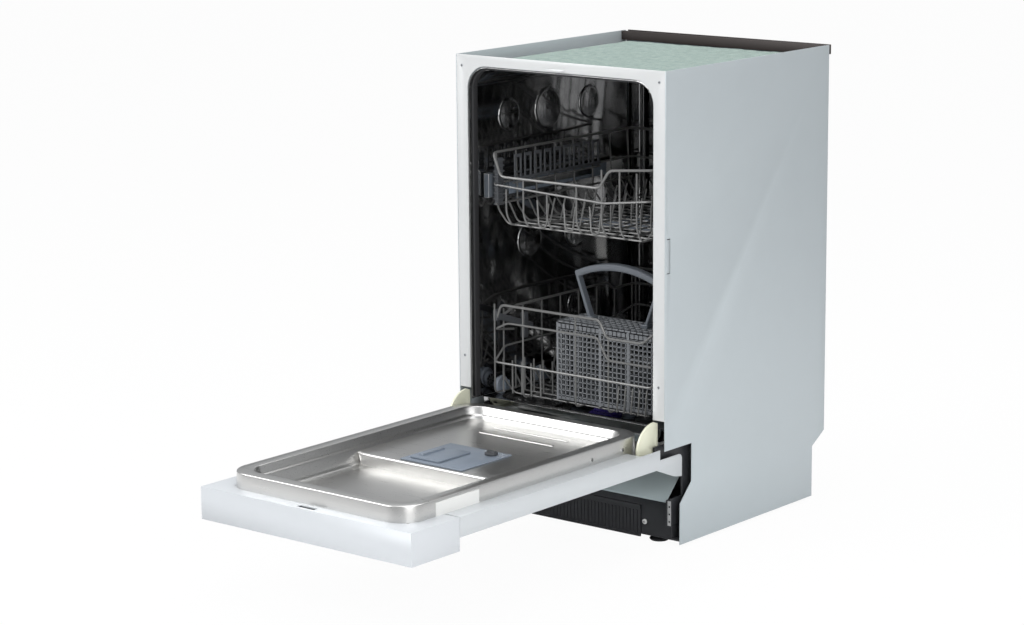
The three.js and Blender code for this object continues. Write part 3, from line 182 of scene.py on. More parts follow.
def tub_painted_shade_material():
    """Bright-rolled stainless steel, a little wavy as drawn sheet is, its colour darker than the liner's
    steel as painted shade for the inside of the tub.
    """
    made = Nodes("tub_steel_painted_shade")
    grain = made.noise(3.0, (4, 4, 1))
    made.set(Metallic=1.0)
    # base colour kept darker than the liner's steel: painted shade for the tub's inside; the noise only
    # varies it at random
    made.link(made.shade(grain, (0.33, 0.33, 0.335), (0.46, 0.46, 0.455)), made.shader.inputs["Base Color"])
    made.link(made.ranged(grain, 0.06, 0.12), made.shader.inputs["Roughness"])
    made.bump(made.noise(5.0, detail=1.0), 0.006, 0.25)
    return made.material


MATERIALS = {
    "panel": surface("panel_steel", (0.55, 0.60, 0.62), 0.38, 0.35, 25.0, shade=0.02),
    "door_skin": surface("door_skin_steel", (0.64, 0.665, 0.68), 0.40, 0.40, 25.0, shade=0.02),
    "frame": surface("frame_enamel", (0.66, 0.67, 0.67), 0.40, 0.2, 20.0, shade=0.02),
    "stainless": surface("brushed_steel", (0.67, 0.665, 0.65), 0.30, 1.0, 14.0, stretch=(1, 55, 55),
                         uneven=0.07, shade=0.06, bump=0.00004),
    "bright": surface("polished_steel", (0.72, 0.72, 0.71), 0.16, 1.0, 30.0, shade=0.03),
    # the tub's steel, darkened as painted shade
    "tub": tub_painted_shade_material(),
    "zinc": surface("galvanised_steel", (0.50, 0.54, 0.57), 0.40, 0.9, 45.0, uneven=0.10, shade=0.12),
    "hinge_leaf": surface("passivated_steel", (0.83, 0.83, 0.66), 0.42, 0.15, 60.0),
    "black_plastic": surface("black_plastic", (0.022, 0.023, 0.026), 0.46, 0.0, 500.0, bump=0.0001),
    "felt": felt_material(),
    "rubber": surface("rubber", (0.03, 0.03, 0.032), 0.62, 0.0, 300.0),
    "dark_rail": surface("dark_rail", (0.035, 0.026, 0.024), 0.50, 0.2, 120.0),
    "wire": surface("coated_wire", (0.175, 0.175, 0.172), 0.34, 0.2, 160.0, coat=0.15),
    "slate_plastic": surface("slate_plastic", (0.20, 0.235, 0.285), 0.40, 0.0, 300.0, bump=0.00004),
    "light_plastic": surface("light_plastic", (0.50, 0.52, 0.54), 0.42, 0.0, 300.0),
    "lattice_plastic": surface("lattice_plastic", (0.205, 0.215, 0.23), 0.42, 0.0, 300.0),
    "charcoal_plastic": surface("charcoal_plastic", (0.055, 0.058, 0.064), 0.42, 0.0, 400.0, bump=0.00005),
    "fascia": surface("fascia_lacquer", (0.665, 0.69, 0.715), 0.46, 0.15, 30.0, shade=0.015),
    "grip_plastic": surface("grip_plastic", (0.085, 0.09, 0.098), 0.45, 0.0, 300.0),
    "wheel_plastic": surface("wheel_plastic", (0.30, 0.335, 0.39), 0.38, 0.0, 300.0),
    "spoke_plastic": surface("spoke_plastic", (0.46, 0.49, 0.53), 0.36, 0.0, 300.0),
    "handle_plastic": surface("handle_plastic", (0.125, 0.14, 0.16), 0.36, 0.0, 300.0, coat=0.1),
    "deck": surface("deck_sheet", (0.42, 0.49, 0.50), 0.50, 0.3, 40.0),
    "salt_cap": surface("salt_cap", (0.035, 0.02, 0.19), 0.28, 0.0, 200.0, coat=0.3),
    "white_plastic": surface("white_plastic", (0.62, 0.62, 0.60), 0.45, 0.0, 200.0),
    "pump_body": surface("pump_body", (0.10, 0.10, 0.105), 0.45, 0.6, 90.0),
    "label": surface("blank_label", (0.82, 0.82, 0.80), 0.5, 0.0, 100.0, shade=0.01),
    # near-black fill for holes, recesses and hollows: painted shade
    "hole_painted_shade": surface("hole_painted_shade", (0.01, 0.01, 0.011), 0.7, 0.0, 100.0),
    "screw": surface("screw_steel", (0.62, 0.62, 0.60), 0.28, 1.0, 80.0),
    "white_screw": surface("white_screw", (0.72, 0.72, 0.70), 0.45, 0.0, 80.0),
}


# ================================================================ mesh helpers
def piece(name, mesh, material, body, replaces=(), smooth=35):
    """A finished mesh becomes a piece that rides on a CAD body."""
    made = bpy.data.objects.new(name, mesh)
    bpy.context.scene.collection.objects.link(made)
    mesh.materials.clear()
    mesh.materials.append(MATERIALS[material])
    if smooth:
        mesh.shade_smooth()
        mesh.set_sharp_from_angle(angle=math.radians(smooth))
    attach(made, body)
    if replaces:
        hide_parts(*replaces)
    return made


def soften(made, width=0.5, segments=2, angle=30):
    """Rounds the edges of a piece, so that they catch the light."""
    weld = made.modifiers.new("weld", "WELD")
    weld.merge_threshold = 0.01 * MM
    bevel = made.modifiers.new("bevel", "BEVEL")
    bevel.width = width * MM
    bevel.segments = segments
    bevel.limit_method = "ANGLE"
    bevel.angle_limit = math.radians(angle)
    bevel.use_clamp_overlap = True
    bevel.harden_normals = True
    return made


def mesh_of(build):
    """Runs build(bm) on a new bmesh and returns the mesh."""
    bm = bmesh.new()
    build(bm)
    bmesh.ops.recalc_face_normals(bm, faces=bm.faces)
    mesh = bpy.data.meshes.new("mesh")
    bm.to_mesh(mesh)
    bm.free()
    return mesh


def add_box(bm, lo, hi):
    """A box between two corners of the row frame. Returns its points."""
    made = bmesh.ops.create_cube(bm, size=1.0)["verts"]
    size = hi - lo
    for v in made:
        v.co = Vector([v.co[i] * size[i] for i in range(3)]) + (lo + hi) / 2
    return made


def add_block(bm, x0, x1, y0, y1, z0, z1):
    """A box given in the cabinet's millimetres."""
    add_box(bm, at(x0, y0, z0), at(x1, y1, z1))


def blocks(boxes):
    def build(bm):
        for b in boxes:
            add_block(bm, *b)
    return mesh_of(build)


def add_turned(bm, profile, centre, axis="Z", segments=32):
    """A profile of (radius, height) turned round an axis through centre."""
    rings = []
    for radius, height in profile:
        count = segments if radius > 0 else 1
        ring = []
        for i in range(count):
            a = 2 * math.pi * i / segments
            p = Vector((radius * math.cos(a), radius * math.sin(a), height)) * MM
            if axis == "X":
                p = Vector((p.z, p.x, p.y))
            elif axis == "Y":
                p = Vector((p.x, p.z, p.y))
            ring.append(bm.verts.new(centre + p))
        rings.append(ring)
    for low, high in zip(rings, rings[1:]):
        for i in range(segments):
            j = (i + 1) % segments
            corners = [low[i % len(low)], low[j % len(low)], high[j % len(high)], high[i % len(high)]]
            corners = list(dict.fromkeys(corners))
            if len(corners) > 2:
                bm.faces.new(corners)


def turned(parts, segments=32):
    """One mesh of turned parts, each given as (profile, centre, axis)."""
    def build(bm):
        for profile, centre, axis in parts:
            add_turned(bm, profile, centre, axis, segments)
    return mesh_of(build)


def rounded(points, bend, closed=False, steps=5):
    """The same path with each corner turned into an arc-like curve."""
    count = len(points)
    made = []
    for i, p in enumerate(points):
        p = Vector(p)
        if not closed and i in (0, count - 1):
            made.append(p)
            continue
        before = Vector(points[i - 1]) - p
        after = Vector(points[(i + 1) % count]) - p
        reach = min(bend, before.length * 0.48, after.length * 0.48)
        a = p + before.normalized() * reach
        b = p + after.normalized() * reach
        for s in range(steps + 1):
            t = s / steps
            made.append(a * (1 - t) ** 2 + p * 2 * t * (1 - t) + b * t**2)
    return made


def wires(paths):
    """One mesh of round wires, each given as (radius, points, closed)."""
    curve = bpy.data.curves.new("wires", "CURVE")
    curve.dimensions = "3D"
    curve.bevel_depth = MM
    curve.bevel_resolution = 2
    curve.use_fill_caps = True
    for radius, points, closed in paths:
        spline = curve.splines.new("POLY")
        path = rounded(points, BEND, closed)
        spline.points.add(len(path) - 1)
        for point, p in zip(spline.points, path):
            point.co = (*at(*p), 1)
            point.radius = radius
        spline.use_cyclic_u = closed
    holder = bpy.data.objects.new("wires", curve)
    bpy.context.scene.collection.objects.link(holder)
    shown = holder.evaluated_get(bpy.context.evaluated_depsgraph_get())
    mesh = bpy.data.meshes.new_from_object(shown)
    bpy.data.objects.remove(holder)
    return mesh


def ring_points(half, y0, y1, radius, z, steps=8):
    """A rounded rectangle, centred on x = 0."""
    corners = [(half, y1, 0), (-half, y1, 90), (-half, y0, 180), (half, y0, 270)]
    made = []
    for x, y, start in corners:
        cx = x - math.copysign(radius, x)
        cy = y - radius if y == y1 else y + radius
        for s in range(steps + 1):
            a = math.radians(start + 90 * s / steps)
            made.append((cx + radius * math.cos(a), cy + radius * math.sin(a), z))
    return made


def lofted(rings):
    """A skin over rings of as many points each, closed by a floor at the last one."""
    def build(bm):
        rows = [[bm.verts.new(at(*p)) for p in ring] for ring in rings]
        for low, high in zip(rows, rows[1:]):
            for i in range(len(low)):
                j = (i + 1) % len(low)
                bm.faces.new([low[i], low[j], high[j], high[i]])
        bm.faces.new(rows[-1])
    return mesh_of(build)


def prism(axis, outline, start, end):
    """A flat outline made thick: (y, z) along X, (x, z) along Y, (x, y) along Z."""
    order = {
        "X": lambda u, v, w: (w, u, v),
        "Y": lambda u, v, w: (u, w, v),
        "Z": lambda u, v, w: (u, v, w),
    }

    def build(bm):
        low = [bm.verts.new(at(*order[axis](u, v, start))) for u, v in outline]
        high = [bm.verts.new(at(*order[axis](u, v, end))) for u, v in outline]
        bm.faces.new(low)
        bm.faces.new(high)
        for i in range(len(low)):
            j = (i + 1) % len(low)
            bm.faces.new([low[i], low[j], high[j], high[i]])
    return mesh_of(build)


def arc(cx, cy, radius, start, end, steps=8):
    angles = [math.radians(a) for a in spread(steps + 1, start, end)]
    return [(cx + radius * math.cos(a), cy + radius * math.sin(a)) for a in angles]


# ================================================================ lower basket
def lower_tines(half, y0, y1, floor):
    """Four rows of plate tines, two rows of short ones at the front left and one at the front right."""
    paths = []
    for x, lean in ((-138, 8), (-60, -8), (6, 8), (92, -8)):
        paths.append((WIRE_R, [(x, y0 + 112, floor + 4), (x, y1 - 14, floor + 4)], False))
        for y in spread(13, y0 + 116, y1 - 20):
            paths.append((CROSS_R, [(x, y, floor + 4), (x + lean, y + 6, floor + 66)], False))
    for row_y in (y0 + 10, y0 + 44):
        for x in spread(5, -half + 12, -76):
            paths.append((CROSS_R, [(x, row_y, floor + 3), (x - 7, row_y + 8, floor + 60)], False))
    for x in spread(5, 92, 152):
        paths.append((CROSS_R, [(x, y0 + 8, floor + 3), (x + 7, y0 + 4, floor + 50)], False))
    return paths


def lower_basket():
    """The wires of the lower basket, its axles, the blocks that carry them and the grip bar."""
    _, _, y0, y1, z0, z1 = limits("lower_basket_walls")
    y0, y1, floor, stand = y0 + RIM_R, y1 - RIM_R, z0 + RIM_R, z1 - RIM_R
    half = WHEEL_X0 - 7
    rim, front_rim, dip = stand - 15, stand - 3, stand - 33
    back_rim = dip + 4
    fold, front_low, side = floor + 24, floor + 57, floor + 81
    side_back = side + 14
    second, second_dip = floor + 130, floor + 93
    step_x, dip_x, dip_end = 60, 76, 152
    top_ring = [
        (-half, y0 + 6, dip), (-half + 16, y0, front_rim), (step_x, y0, front_rim), (dip_x, y0, dip),
        (dip_end, y0, dip), (half, y0 + 6, rim), (half, y1 - 84, rim), (half, y1 - 70, back_rim),
        (half, y1, back_rim), (-half, y1, back_rim), (-half, y1 - 70, back_rim), (-half, y1 - 84, rim),
        (-half, y0 + 60, rim),
    ]
    back_hoop = [
        (half, y1 - 46, back_rim), (half, y1 - 40, stand), (half, y1, stand),
        (-half, y1, stand), (-half, y1 - 40, stand), (-half, y1 - 46, back_rim),
    ]
    second_wire = [
        (-half + 2, y0 + 52, second - 22), (-half + 2, y0, second - 14), (-half + 30, y0, second),
        (step_x - 4, y0, second), (dip_x + 2, y0, second_dip), (half, y0, second_dip),
    ]
    low_ring = [
        (-half, y0, front_low), (half, y0, front_low), (half, y0 + 28, side), (half, y1 - 60, side),
        (half, y1 - 46, side_back), (half, y1, side_back), (-half, y1, side_back), (-half, y1 - 60, side),
        (-half, y0 + 28, side),
    ]
    paths = [
        (RIM_R, top_ring, True),
        (RIM_R, back_hoop, False),
        (WIRE_R, second_wire, False),
        (WIRE_R, low_ring, True),
    ]
    ys = spread(8, y0 + 26, y1 - 10)
    for y in ys:
        top = rim if y < y1 - 84 else (stand if y > y1 - 44 else back_rim)
        inner = half - 24
        paths.append((CROSS_R, [(-half, y, top), (-half, y, fold), (-inner, y, floor),
                                (inner, y, floor), (half, y, fold), (half, y, top)], False))
    for y in spread(7, (ys[0] + ys[1]) / 2, (ys[-2] + ys[-1]) / 2):
        inner = half - 22
        paths.append((CROSS_R, [(-half + 3, y, fold + 6), (-inner, y, floor),
                                (inner, y, floor), (half - 3, y, fold + 6)], False))
    for x in (-half + 1, -107, 9, 80):
        top = front_rim if x < step_x else dip
        paths.append((CROSS_R, [(x, y0, top), (x, y0, floor + 2), (x, y0 + 22, floor + 1),
                                (x, y1 - 20, floor + 1), (x, y1, floor + 16), (x, y1, stand)], False))
    for x in (-62, -28, 44, 122):
        paths.append((CROSS_R, [(x, y0 + 20, floor + 1), (x, y1 - 20, floor + 1),
                                (x, y1, floor + 16), (x, y1, side_back)], False))
    paths += lower_tines(half, y0, y1, floor)
    for side_sign in SIDES:
        for y in wheel_places():
            axle = [(side_sign * (half - 2), y, WHEEL_Z), (side_sign * (WHEEL_X1 - 1), y, WHEEL_Z)]
            paths.append((3, axle, False))
    piece("lower_basket_wires", wires(paths), "wire", "lower_basket",
          ("lower_basket_floor", "lower_basket_walls"))
    carriers = []
    for side_sign in SIDES:
        for y in wheel_places():
            near, far = sorted((side_sign * (half - 3.5), side_sign * (half + 5.5)))
            carriers.append((near, far, y - 8, y + 8, WHEEL_Z - 8, WHEEL_Z + 9))
    made = piece("wheel_carriers", blocks(carriers), "slate_plastic", "lower_basket")
    soften(made, 2.5, 3)
    lower_grip(-half, y0, rim)


def lower_grip(x, y0, rim):
    """The flat bar clipped to the left side, rising towards the front."""
    low, high = (y0 + 106, rim - 44), (y0 + 2, rim - 8)
    bar = [(low[0], low[1] - 6), (low[0], low[1] + 6), (high[0], high[1] + 6), (high[0], high[1] - 6)]
    made = piece("lower_grip_bar", prism("X", bar, x - 3.5, x + 3.5), "grip_plastic", "lower_basket")
    soften(made, 1.4, 3)
    clip_y = y0 + 84
    clips = [
        (x - 5, x + 5, clip_y - 6, clip_y + 6, rim - 62, rim - 16),
        (x - 4.5, x + 4.5, y0 + 1, y0 + 14, rim - 19, rim + 1),
    ]
    made = piece("lower_grip_clip", blocks(clips), "grip_plastic", "lower_basket")
    soften(made, 2, 3)


def wheel_places():
    return [sum(limits(f"wheel_right_{i}")[2:4]) / 2 for i in (1, 2, 3, 4)]


def sided(profile, side):
    """A wheel's profile for the left (-1) or the right (1) of the basket."""
    return [(radius, side * along) for radius, along in profile]


def add_spoke(bm, centre, angle, reach):
    """A thin bar from a wheel's cap towards its rim."""
    place = Matrix.Translation(centre) @ Matrix.Rotation(angle, 4, "X")
    for v in add_box(bm, Vector((-0.9, -0.85, 2.6)) * MM, Vector((0.9, 0.85, reach)) * MM):
        v.co = place @ v.co


def wheels():
    """Each wheel is a stepped tyre, a bright rim, cap and spokes, and a dark disc of painted shade behind
    them.
    """
    width = WHEEL_X1 - WHEEL_X0
    r = WHEEL_R
    tyre = [
        (3.2, 0), (r - 1.5, 0), (r, 1.5), (r, 4.5), (r - 1.2, 5.8), (r * 0.84, 6), (r * 0.80, width - 1.2),
        (r * 0.76, width - 0.2), (r * 0.72, width - 0.2), (r * 0.70, width - 3), (3.2, width - 3), (3.2, 0),
    ]
    rim = [
        (r * 0.66, width - 2), (r * 0.73, width - 2), (r * 0.74, width), (r * 0.68, width),
        (r * 0.66, width - 2),
    ]
    cap = [(2.4, width - 3.4), (3.6, width - 2.6), (3.2, width - 0.2), (0, width)]
    # a flat disc behind the spokes, coloured as painted shade for the wheel's hollow
    painted_shade_disc = [(r * 0.71, width - 2.9), (0, width - 2.9)]
    for side in SIDES:
        for i, y in enumerate(wheel_places(), 1):
            name = f"wheel_{SIDE_NAME[side]}_{i}"
            inner = at(side * WHEEL_X0, y, WHEEL_Z)
            face = inner + Vector((side * (width - 1.1) * MM, 0, 0))

            def build(bm):
                for profile in (rim, cap):
                    add_turned(bm, sided(profile, side), inner, "X", 40)
                for k in range(WHEEL_SPOKES):
                    add_spoke(bm, face, 2 * math.pi * k / WHEEL_SPOKES, r * 0.69)

            tyre_mesh = turned([(sided(tyre, side), inner, "X")], 40)
            painted_shade_disc_mesh = turned([(sided(painted_shade_disc, side), inner, "X")], 40)
            piece(name + "_look", tyre_mesh, "wheel_plastic", name, (name,))
            piece(name + "_spokes", mesh_of(build), "spoke_plastic", name)
            # the disc behind the spokes carries painted shade
            piece(name + "_well", painted_shade_disc_mesh, "hole_painted_shade", name)


# ================================================================ upper basket
def upper_tines(y0, y1, floor):
    """Three low loops at the front and four rows of cup tines."""
    paths = []
    for x in (-78, -20, 36):
        paths.append((CROSS_R, [(x - 5, y0 + 12, floor + 48), (x, y0 + 10, floor + 2),
                                (x + 16, y0 + 10, floor + 2), (x + 20, y0 + 12, floor + 44)], False))
    for x, lean in ((-84, 5), (-18, 5), (48, -5), (112, -5)):
        paths.append((WIRE_R, [(x, y0 + 44, floor + 3), (x, y1 - 20, floor + 3)], False))
        for y in spread(12, y0 + 48, y1 - 26):
            paths.append((CROSS_R, [(x, y, floor + 3), (x + lean, y + 8, floor + 46)], False))
    return paths


def upper_basket():
    """The wires of the upper basket and the ribbed grip at its front left."""
    _, _, y0, y1, z0, z1 = limits("upper_basket_walls")
    y0, y1, floor, rim = y0 + RIM_R, y1 - RIM_R, z0 + RIM_R, z1 - RIM_R
    half = 174
    dip, mid = rim - 40, floor + 65
    fold = floor + 14
    dip_end, step_x = 61, 82
    top_ring = [
        (-half, y0 + 4, rim), (-half + 20, y0, dip), (dip_end, y0, dip), (step_x, y0, rim - 8),
        (half, y0 + 4, rim), (half, y1, rim), (-half, y1, rim),
    ]
    middle_ring = [
        (-half + 2, y0, mid + 4), (70, y0, mid - 6), (half - 6, y0, mid + 6), (half - 2, y0 + 30, mid + 6),
        (half - 2, y1, mid + 6), (-half + 2, y1, mid + 6),
    ]
    paths = [
        (RIM_R, top_ring, True),
        (WIRE_R, middle_ring, True),
        (WIRE_R, [(-half + 6, y0 + 4, floor + 34), (-half + 6, y1 - 4, floor + 34)], False),
    ]
    ys = spread(8, y0 + 12, y1 - 10)
    for y in ys:
        paths.append((CROSS_R, [(-half, y, rim), (-half + 3, y, mid), (-half + 3, y, fold + 12),
                                (-half + 26, y, floor), (half - 26, y, floor), (half - 12, y, fold),
                                (half - 5, y, mid - 36), (half - 5, y, mid - 6), (half, y, mid + 12),
                                (half, y, rim)], False))
    for a, b in zip(ys, ys[1:]):
        paths.append((CROSS_R, [(half - 4, a + 2, mid - 2), (half - 12, b - 5, fold)], False))
        middle = (a + b) / 2
        paths.append((CROSS_R, [(-half + 6, middle, floor + 34), (-half + 26, middle, floor),
                                (half - 26, middle, floor), (half - 12, middle, fold)], False))
    to_rim = (-104, 12, 66, 104, 140)
    for x in (-142, -104, -52, 12, 66, 104, 140):
        top = (dip if x < dip_end else rim - 8) if x in to_rim else mid - 2
        paths.append((CROSS_R, [(x, y0, top), (x, y0, floor + 20), (x + 8, y0 + 4, floor),
                                (x + 8, y0 + 20, floor + 1), (x, y1 - 14, floor + 1),
                                (x, y1, floor + 14), (x, y1, rim)], False))
    paths += upper_tines(y0, y1, floor)
    hinge_x, hinge_z = shelf_hinge()
    for y in (ys[3], ys[5]):
        paths.append((CROSS_R, [(-half + 2, y, hinge_z), (hinge_x - 2.6, y, hinge_z)], False))
    piece("upper_basket_wires", wires(paths), "wire", "upper_basket",
          ("upper_basket_floor", "upper_basket_walls"))
    grip = [(-half - 1, -half + 7, y0 + 8, y0 + 22, mid - 34, rim - 10)]
    for z in spread(9, mid - 32, rim - 14):
        grip.append((-half - 2, -half + 9, y0 + 6, y0 + 24, z - 1.4, z + 1.4))
    soften(piece("upper_grip", blocks(grip), "grip_plastic", "upper_basket"), 0.6)


def shelf_hinge():
    """Where the folding shelf's hinge bar runs: x and z."""
    x0, x1, _, _, z0, _ = limits("cup_shelf")
    return (x0 + x1) / 2, z0 + 0.75


def cup_shelf():
    """Nine folding fingers, each an upright loop of flat plastic, on one hinge bar."""
    x0, x1, y0, y1, _, z1 = limits("cup_shelf")
    x, hinge_z = shelf_hinge()
    half = (x1 - x0) / 2
    fingers = 9
    pitch = (y1 - y0) / fingers
    base = hinge_z + 8
    boxes = [(x0, x1, y0, y1, base - 3, base + 3)]
    for y in spread(fingers, y0, y1 - pitch):
        boxes.append((x0, x1, y + 3, y + 7.5, base, z1 - 5))
        boxes.append((x0, x1, y + pitch - 9, y + pitch - 4.5, base, z1 - 5))
        boxes.append((x0, x1, y + 3, y + pitch - 4.5, z1 - 6, z1))
        boxes.append((x - half * 0.9, x + half * 0.9, y + 3, y + pitch - 4.5, base + 10, base + 13))
    soften(piece("cup_shelf_fingers", blocks(boxes), "grip_plastic", "cup_shelf",
                 ("cup_shelf",)), 1.2, 3)
    bar = [([(0, 0), (1.5, 0), (1.5, y1 - y0), (0, y1 - y0)], at(x, y0, hinge_z + 1), "Y")]
    piece("cup_shelf_bar", turned(bar, 16), "wire", "cup_shelf")
    legs = [(x - 1, x + 1, y - 2, y + 2, hinge_z, base) for y in spread(6, y0 + 6, y1 - 6)]
    piece("cup_shelf_legs", blocks(legs), "grip_plastic", "cup_shelf", smooth=0)


# ================================================================ cutlery basket
def lattice(x0, x1, y0, y1, z0, z1, bar):
    """Bars of an upright lattice that is thin along x or along y."""
    thin_x = x1 - x0 < y1 - y0
    a0, a1 = (y0, y1) if thin_x else (x0, x1)
    made = []
    for a in spread(round((a1 - a0) / LATTICE_PITCH) + 1, a0 + bar / 2, a1 - bar / 2):
        span = (x0, x1, a - bar / 2, a + bar / 2) if thin_x else (a - bar / 2, a + bar / 2, y0, y1)
        made.append((*span, z0, z1))
    for z in spread(round((z1 - z0) / LATTICE_PITCH) + 1, z0 + bar / 2, z1 - bar / 2):
        made.append((x0, x1, y0, y1, z - bar / 2, z + bar / 2))
    return made


def cutlery_basket():
    """Lattice walls and floor with solid bands, two partitions and four corner posts."""
    x0, x1, y0, y1, z0, z1 = limits("cutlery_basket")
    t, bar = 1.8, 1.7
    walls = ((x0, x1, y0, y0 + t), (x0, x1, y1 - t, y1), (x0, x0 + t, y0, y1), (x1 - t, x1, y0, y1))
    boxes = [b for wall in walls for b in lattice(*wall, z0, z1, bar)]
    for x in spread(round((x1 - x0) / LATTICE_PITCH) + 1, x0 + bar / 2, x1 - bar / 2):
        boxes.append((x - bar / 2, x + bar / 2, y0, y1, z0, z0 + t))
    for y in spread(round((y1 - y0) / LATTICE_PITCH) + 1, y0 + bar / 2, y1 - bar / 2):
        boxes.append((x0, x1, y - bar / 2, y + bar / 2, z0, z0 + t))
    for low, high in ((z0, z0 + 7), (z1 - 12, z1)):
        boxes += [(*wall, low, high) for wall in walls]
    for x in (x0 + (x1 - x0) * 0.44, x0 + (x1 - x0) * 0.72):
        boxes.append((x - 0.8, x + 0.8, y0 + t, y1 - t, z0 + t, z0 + 60))
        boxes.append((x - 2.5, x + 2.5, y0 - 0.4, y0 + t, z0, z1))
    post = 4
    for x in (x0 - 0.3, x1 - post + 0.3):
        for y in (y0 - 0.3, y1 - post + 0.3):
            boxes.append((x, x + post, y, y + post, z0, z1))
    piece("cutlery_lattice", blocks(boxes), "lattice_plastic", "lower_basket",
          ("cutlery_basket",), smooth=0)


def cutlery_lid():
    """A frame with a grid of slots."""
    x0, x1, y0, y1, z0, z1 = limits("cutlery_lid")
    edge = 4
    boxes = [
        (x0, x1, y0, y0 + edge, z0, z1),
        (x0, x1, y1 - edge, y1, z0, z1),
        (x0, x0 + edge, y0, y1, z0, z1),
        (x1 - edge, x1, y0, y1, z0, z1),
    ]
    for x in spread(17, x0 + 3, x1 - 3):
        boxes.append((x - 1.3, x + 1.3, y0, y1, z0, z1))
    for y in spread(6, y0 + 3, y1 - 3):
        boxes.append((x0, x1, y - 1.6, y + 1.6, z0, z1))
    soften(piece("cutlery_lid_look", blocks(boxes), "lattice_plastic", "lower_basket",
                 ("cutlery_lid",)), 0.3)


def cutlery_handle():
    """Two straight legs that lean outwards under a curved bar with a ribbed back."""
    x0, x1, y0, y1, z0, z1 = limits("cutlery_handle")
    cx, cy = (x0 + x1) / 2, (y0 + y1) / 2
    span, rise, shoulder, foot, leg, bar = (x1 - x0) / 2, z1 - z0, 83, 59, 3.5, 12
    radius = (span**2 + (rise - shoulder) ** 2) / (2 * (rise - shoulder))
    centre = z1 - radius
    lean = math.degrees(math.asin(span / radius))
    inner = radius - bar
    inner_lean = math.degrees(math.asin((span - 2 * leg - 2) / inner))
    outline = [(cx + foot + leg, z0), (cx + span - 2, z0 + shoulder - bar / 2)]
    outline += arc(cx, centre, radius, 90 - lean, 90 + lean, 28)
    outline += [(cx - span + 2, z0 + shoulder - bar / 2), (cx - foot - leg, z0), (cx - foot + leg, z0)]
    outline += arc(cx, centre, inner, 90 + inner_lean, 90 - inner_lean, 28)
    outline.append((cx + foot - leg, z0))
    made = piece("cutlery_handle_look", prism("Y", outline, cy - 7, cy + 7), "handle_plastic",
                 "lower_basket", ("cutlery_handle",))
    soften(made, 2.2, 4, 40)
    ridge = arc(cx, centre, radius - 1, 90 - lean * 0.93, 90 + lean * 0.93, 28)
    ridge += arc(cx, centre, inner + 3, 90 + lean * 0.9, 90 - lean * 0.9, 28)
    made = piece("cutlery_handle_grip", prism("Y", ridge, cy - 8.4, cy + 8.4), "handle_plastic",
                 "lower_basket")
    soften(made, 1.0, 2, 40)
    feet = [(cx + s * foot - 7, cx + s * foot + 7, cy - 9, cy + 9, z0, z0 + 7) for s in SIDES]
    made = piece("cutlery_handle_feet", blocks(feet), "handle_plastic", "lower_basket")
    soften(made, 1.5, 3)


# ================================================================ door
def liner_ring(inset, y0, radius, z):
    """One ring of the liner. Its rear edge comes in less than the others."""
    return ring_points(LINER_X1 - inset, y0, LINER_Y1 - inset * 0.8, radius, z, 12)


def door_liner():
    """The pressed inner sheet: a rim, steps down into the pan, and the raised rear platform."""
    rim = RIM_Z
    corner, least_corner = 42, 12
    steps = [
        (0, 0, LINER_Z0), (0.2, 0, LINER_Z0 + 8), (0.8, 0.4, rim - 2.2), (1.2, 1.0, rim - 0.9),
        (2.4, 2.2, rim), (21, 16, rim), (22.6, 17.4, rim - 0.5), (23.8, 18.4, rim - 2), (26, 20, rim - 12),
        (27.4, 21.2, rim - 14), (30, 23.2, rim - 15), (31.4, 24.4, rim - 17), (36, 28, rim - 34),
        (38.4, 30, rim - 38.4), (43, 34, rim - 40.6), (60, 46, rim - 41.4),
    ]
    rings = []
    for inset, bend, z in steps:
        radius = max(corner - bend * 0.5, least_corner)
        rings.append(liner_ring(inset, LINER_Y0 + inset, radius, z))
    made = piece("door_liner_look", lofted(rings), "stainless", "door", ("door_liner",), 60)
    sheet = made.modifiers.new("sheet", "SOLIDIFY")
    sheet.thickness = 0.8 * MM
    sheet.offset = -1
    top = PLATFORM_Z
    profile = [
        (37, 0, rim - 43), (32, 0, top - 5), (29.6, 0.6, top - 2), (31, 2.4, top - 0.3), (34, 5, top),
        (70, 40, top),
    ]
    rings = [liner_ring(inset, PLATFORM_FRONT + back, least_corner, z) for inset, back, z in profile]
    piece("liner_platform", lofted(rings), "stainless", "door", smooth=60)
    beads = [(-80, 80, y, y + 5, top - 2, top + 1.2) for y in (-120, -80)]
    soften(piece("liner_beads", blocks(beads), "stainless", "door"), 1.1, 3)


def door_details():
    """The blank rating sticker on the door's right edge and six lamps on the fascia's outer face, drawn as
    shallow holes filled with painted shade.
    """
    sticker = (LINER_X1 - 1.5, LINER_X1 + 0.25, LINER_Y0 + 70, LINER_Y0 + 173, LINER_Z0 + 2, RIM_Z - 5)
    piece("rating_sticker", blocks([sticker]), "label", "door", smooth=0)
    _, _, y0, _, z0, _ = limits("control_fascia")
    lamps = [([(0, -0.25), (1.6, -0.25), (1.9, 0.4)], at(x, y0 + 50, z0), "Z") for x in spread(6, -75, 75)]
    # each lamp is a shallow hole filled with painted shade
    piece("fascia_lamps", turned(lamps, 16), "hole_painted_shade", "door")


# ================================================================ screws and small fittings
def screw_set(name, body, places, radius=3.6, material="screw"):
    """Pan-head cross screws, each given as (place, axis, outward sign), with painted shade in the cross
    recesses.
    """
    heads, crosses = [], []
    for place, axis, out in places:
        head = [(radius, -out), (radius, out * 0.6), (radius * 0.75, out * 1.4), (0, out * 1.7)]
        heads.append((head, place, axis))
        along = "XYZ".index(axis)
        middle = place.copy()
        middle[along] += out * 1.15 * MM
        for arm in ([radius * 0.55, 0.4], [0.4, radius * 0.55]):
            arm.insert(along, 0.75)
            reach = Vector(arm) * MM
            crosses.append((middle - reach, middle + reach))
    piece(name, turned(heads, 20), material, body)

    def build(bm):
        for lo, hi in crosses:
            add_box(bm, lo, hi)
    # the cross recess is a set of near-black boxes: painted shade
    piece(name + "_recess", mesh_of(build), "hole_painted_shade", body, smooth=0)


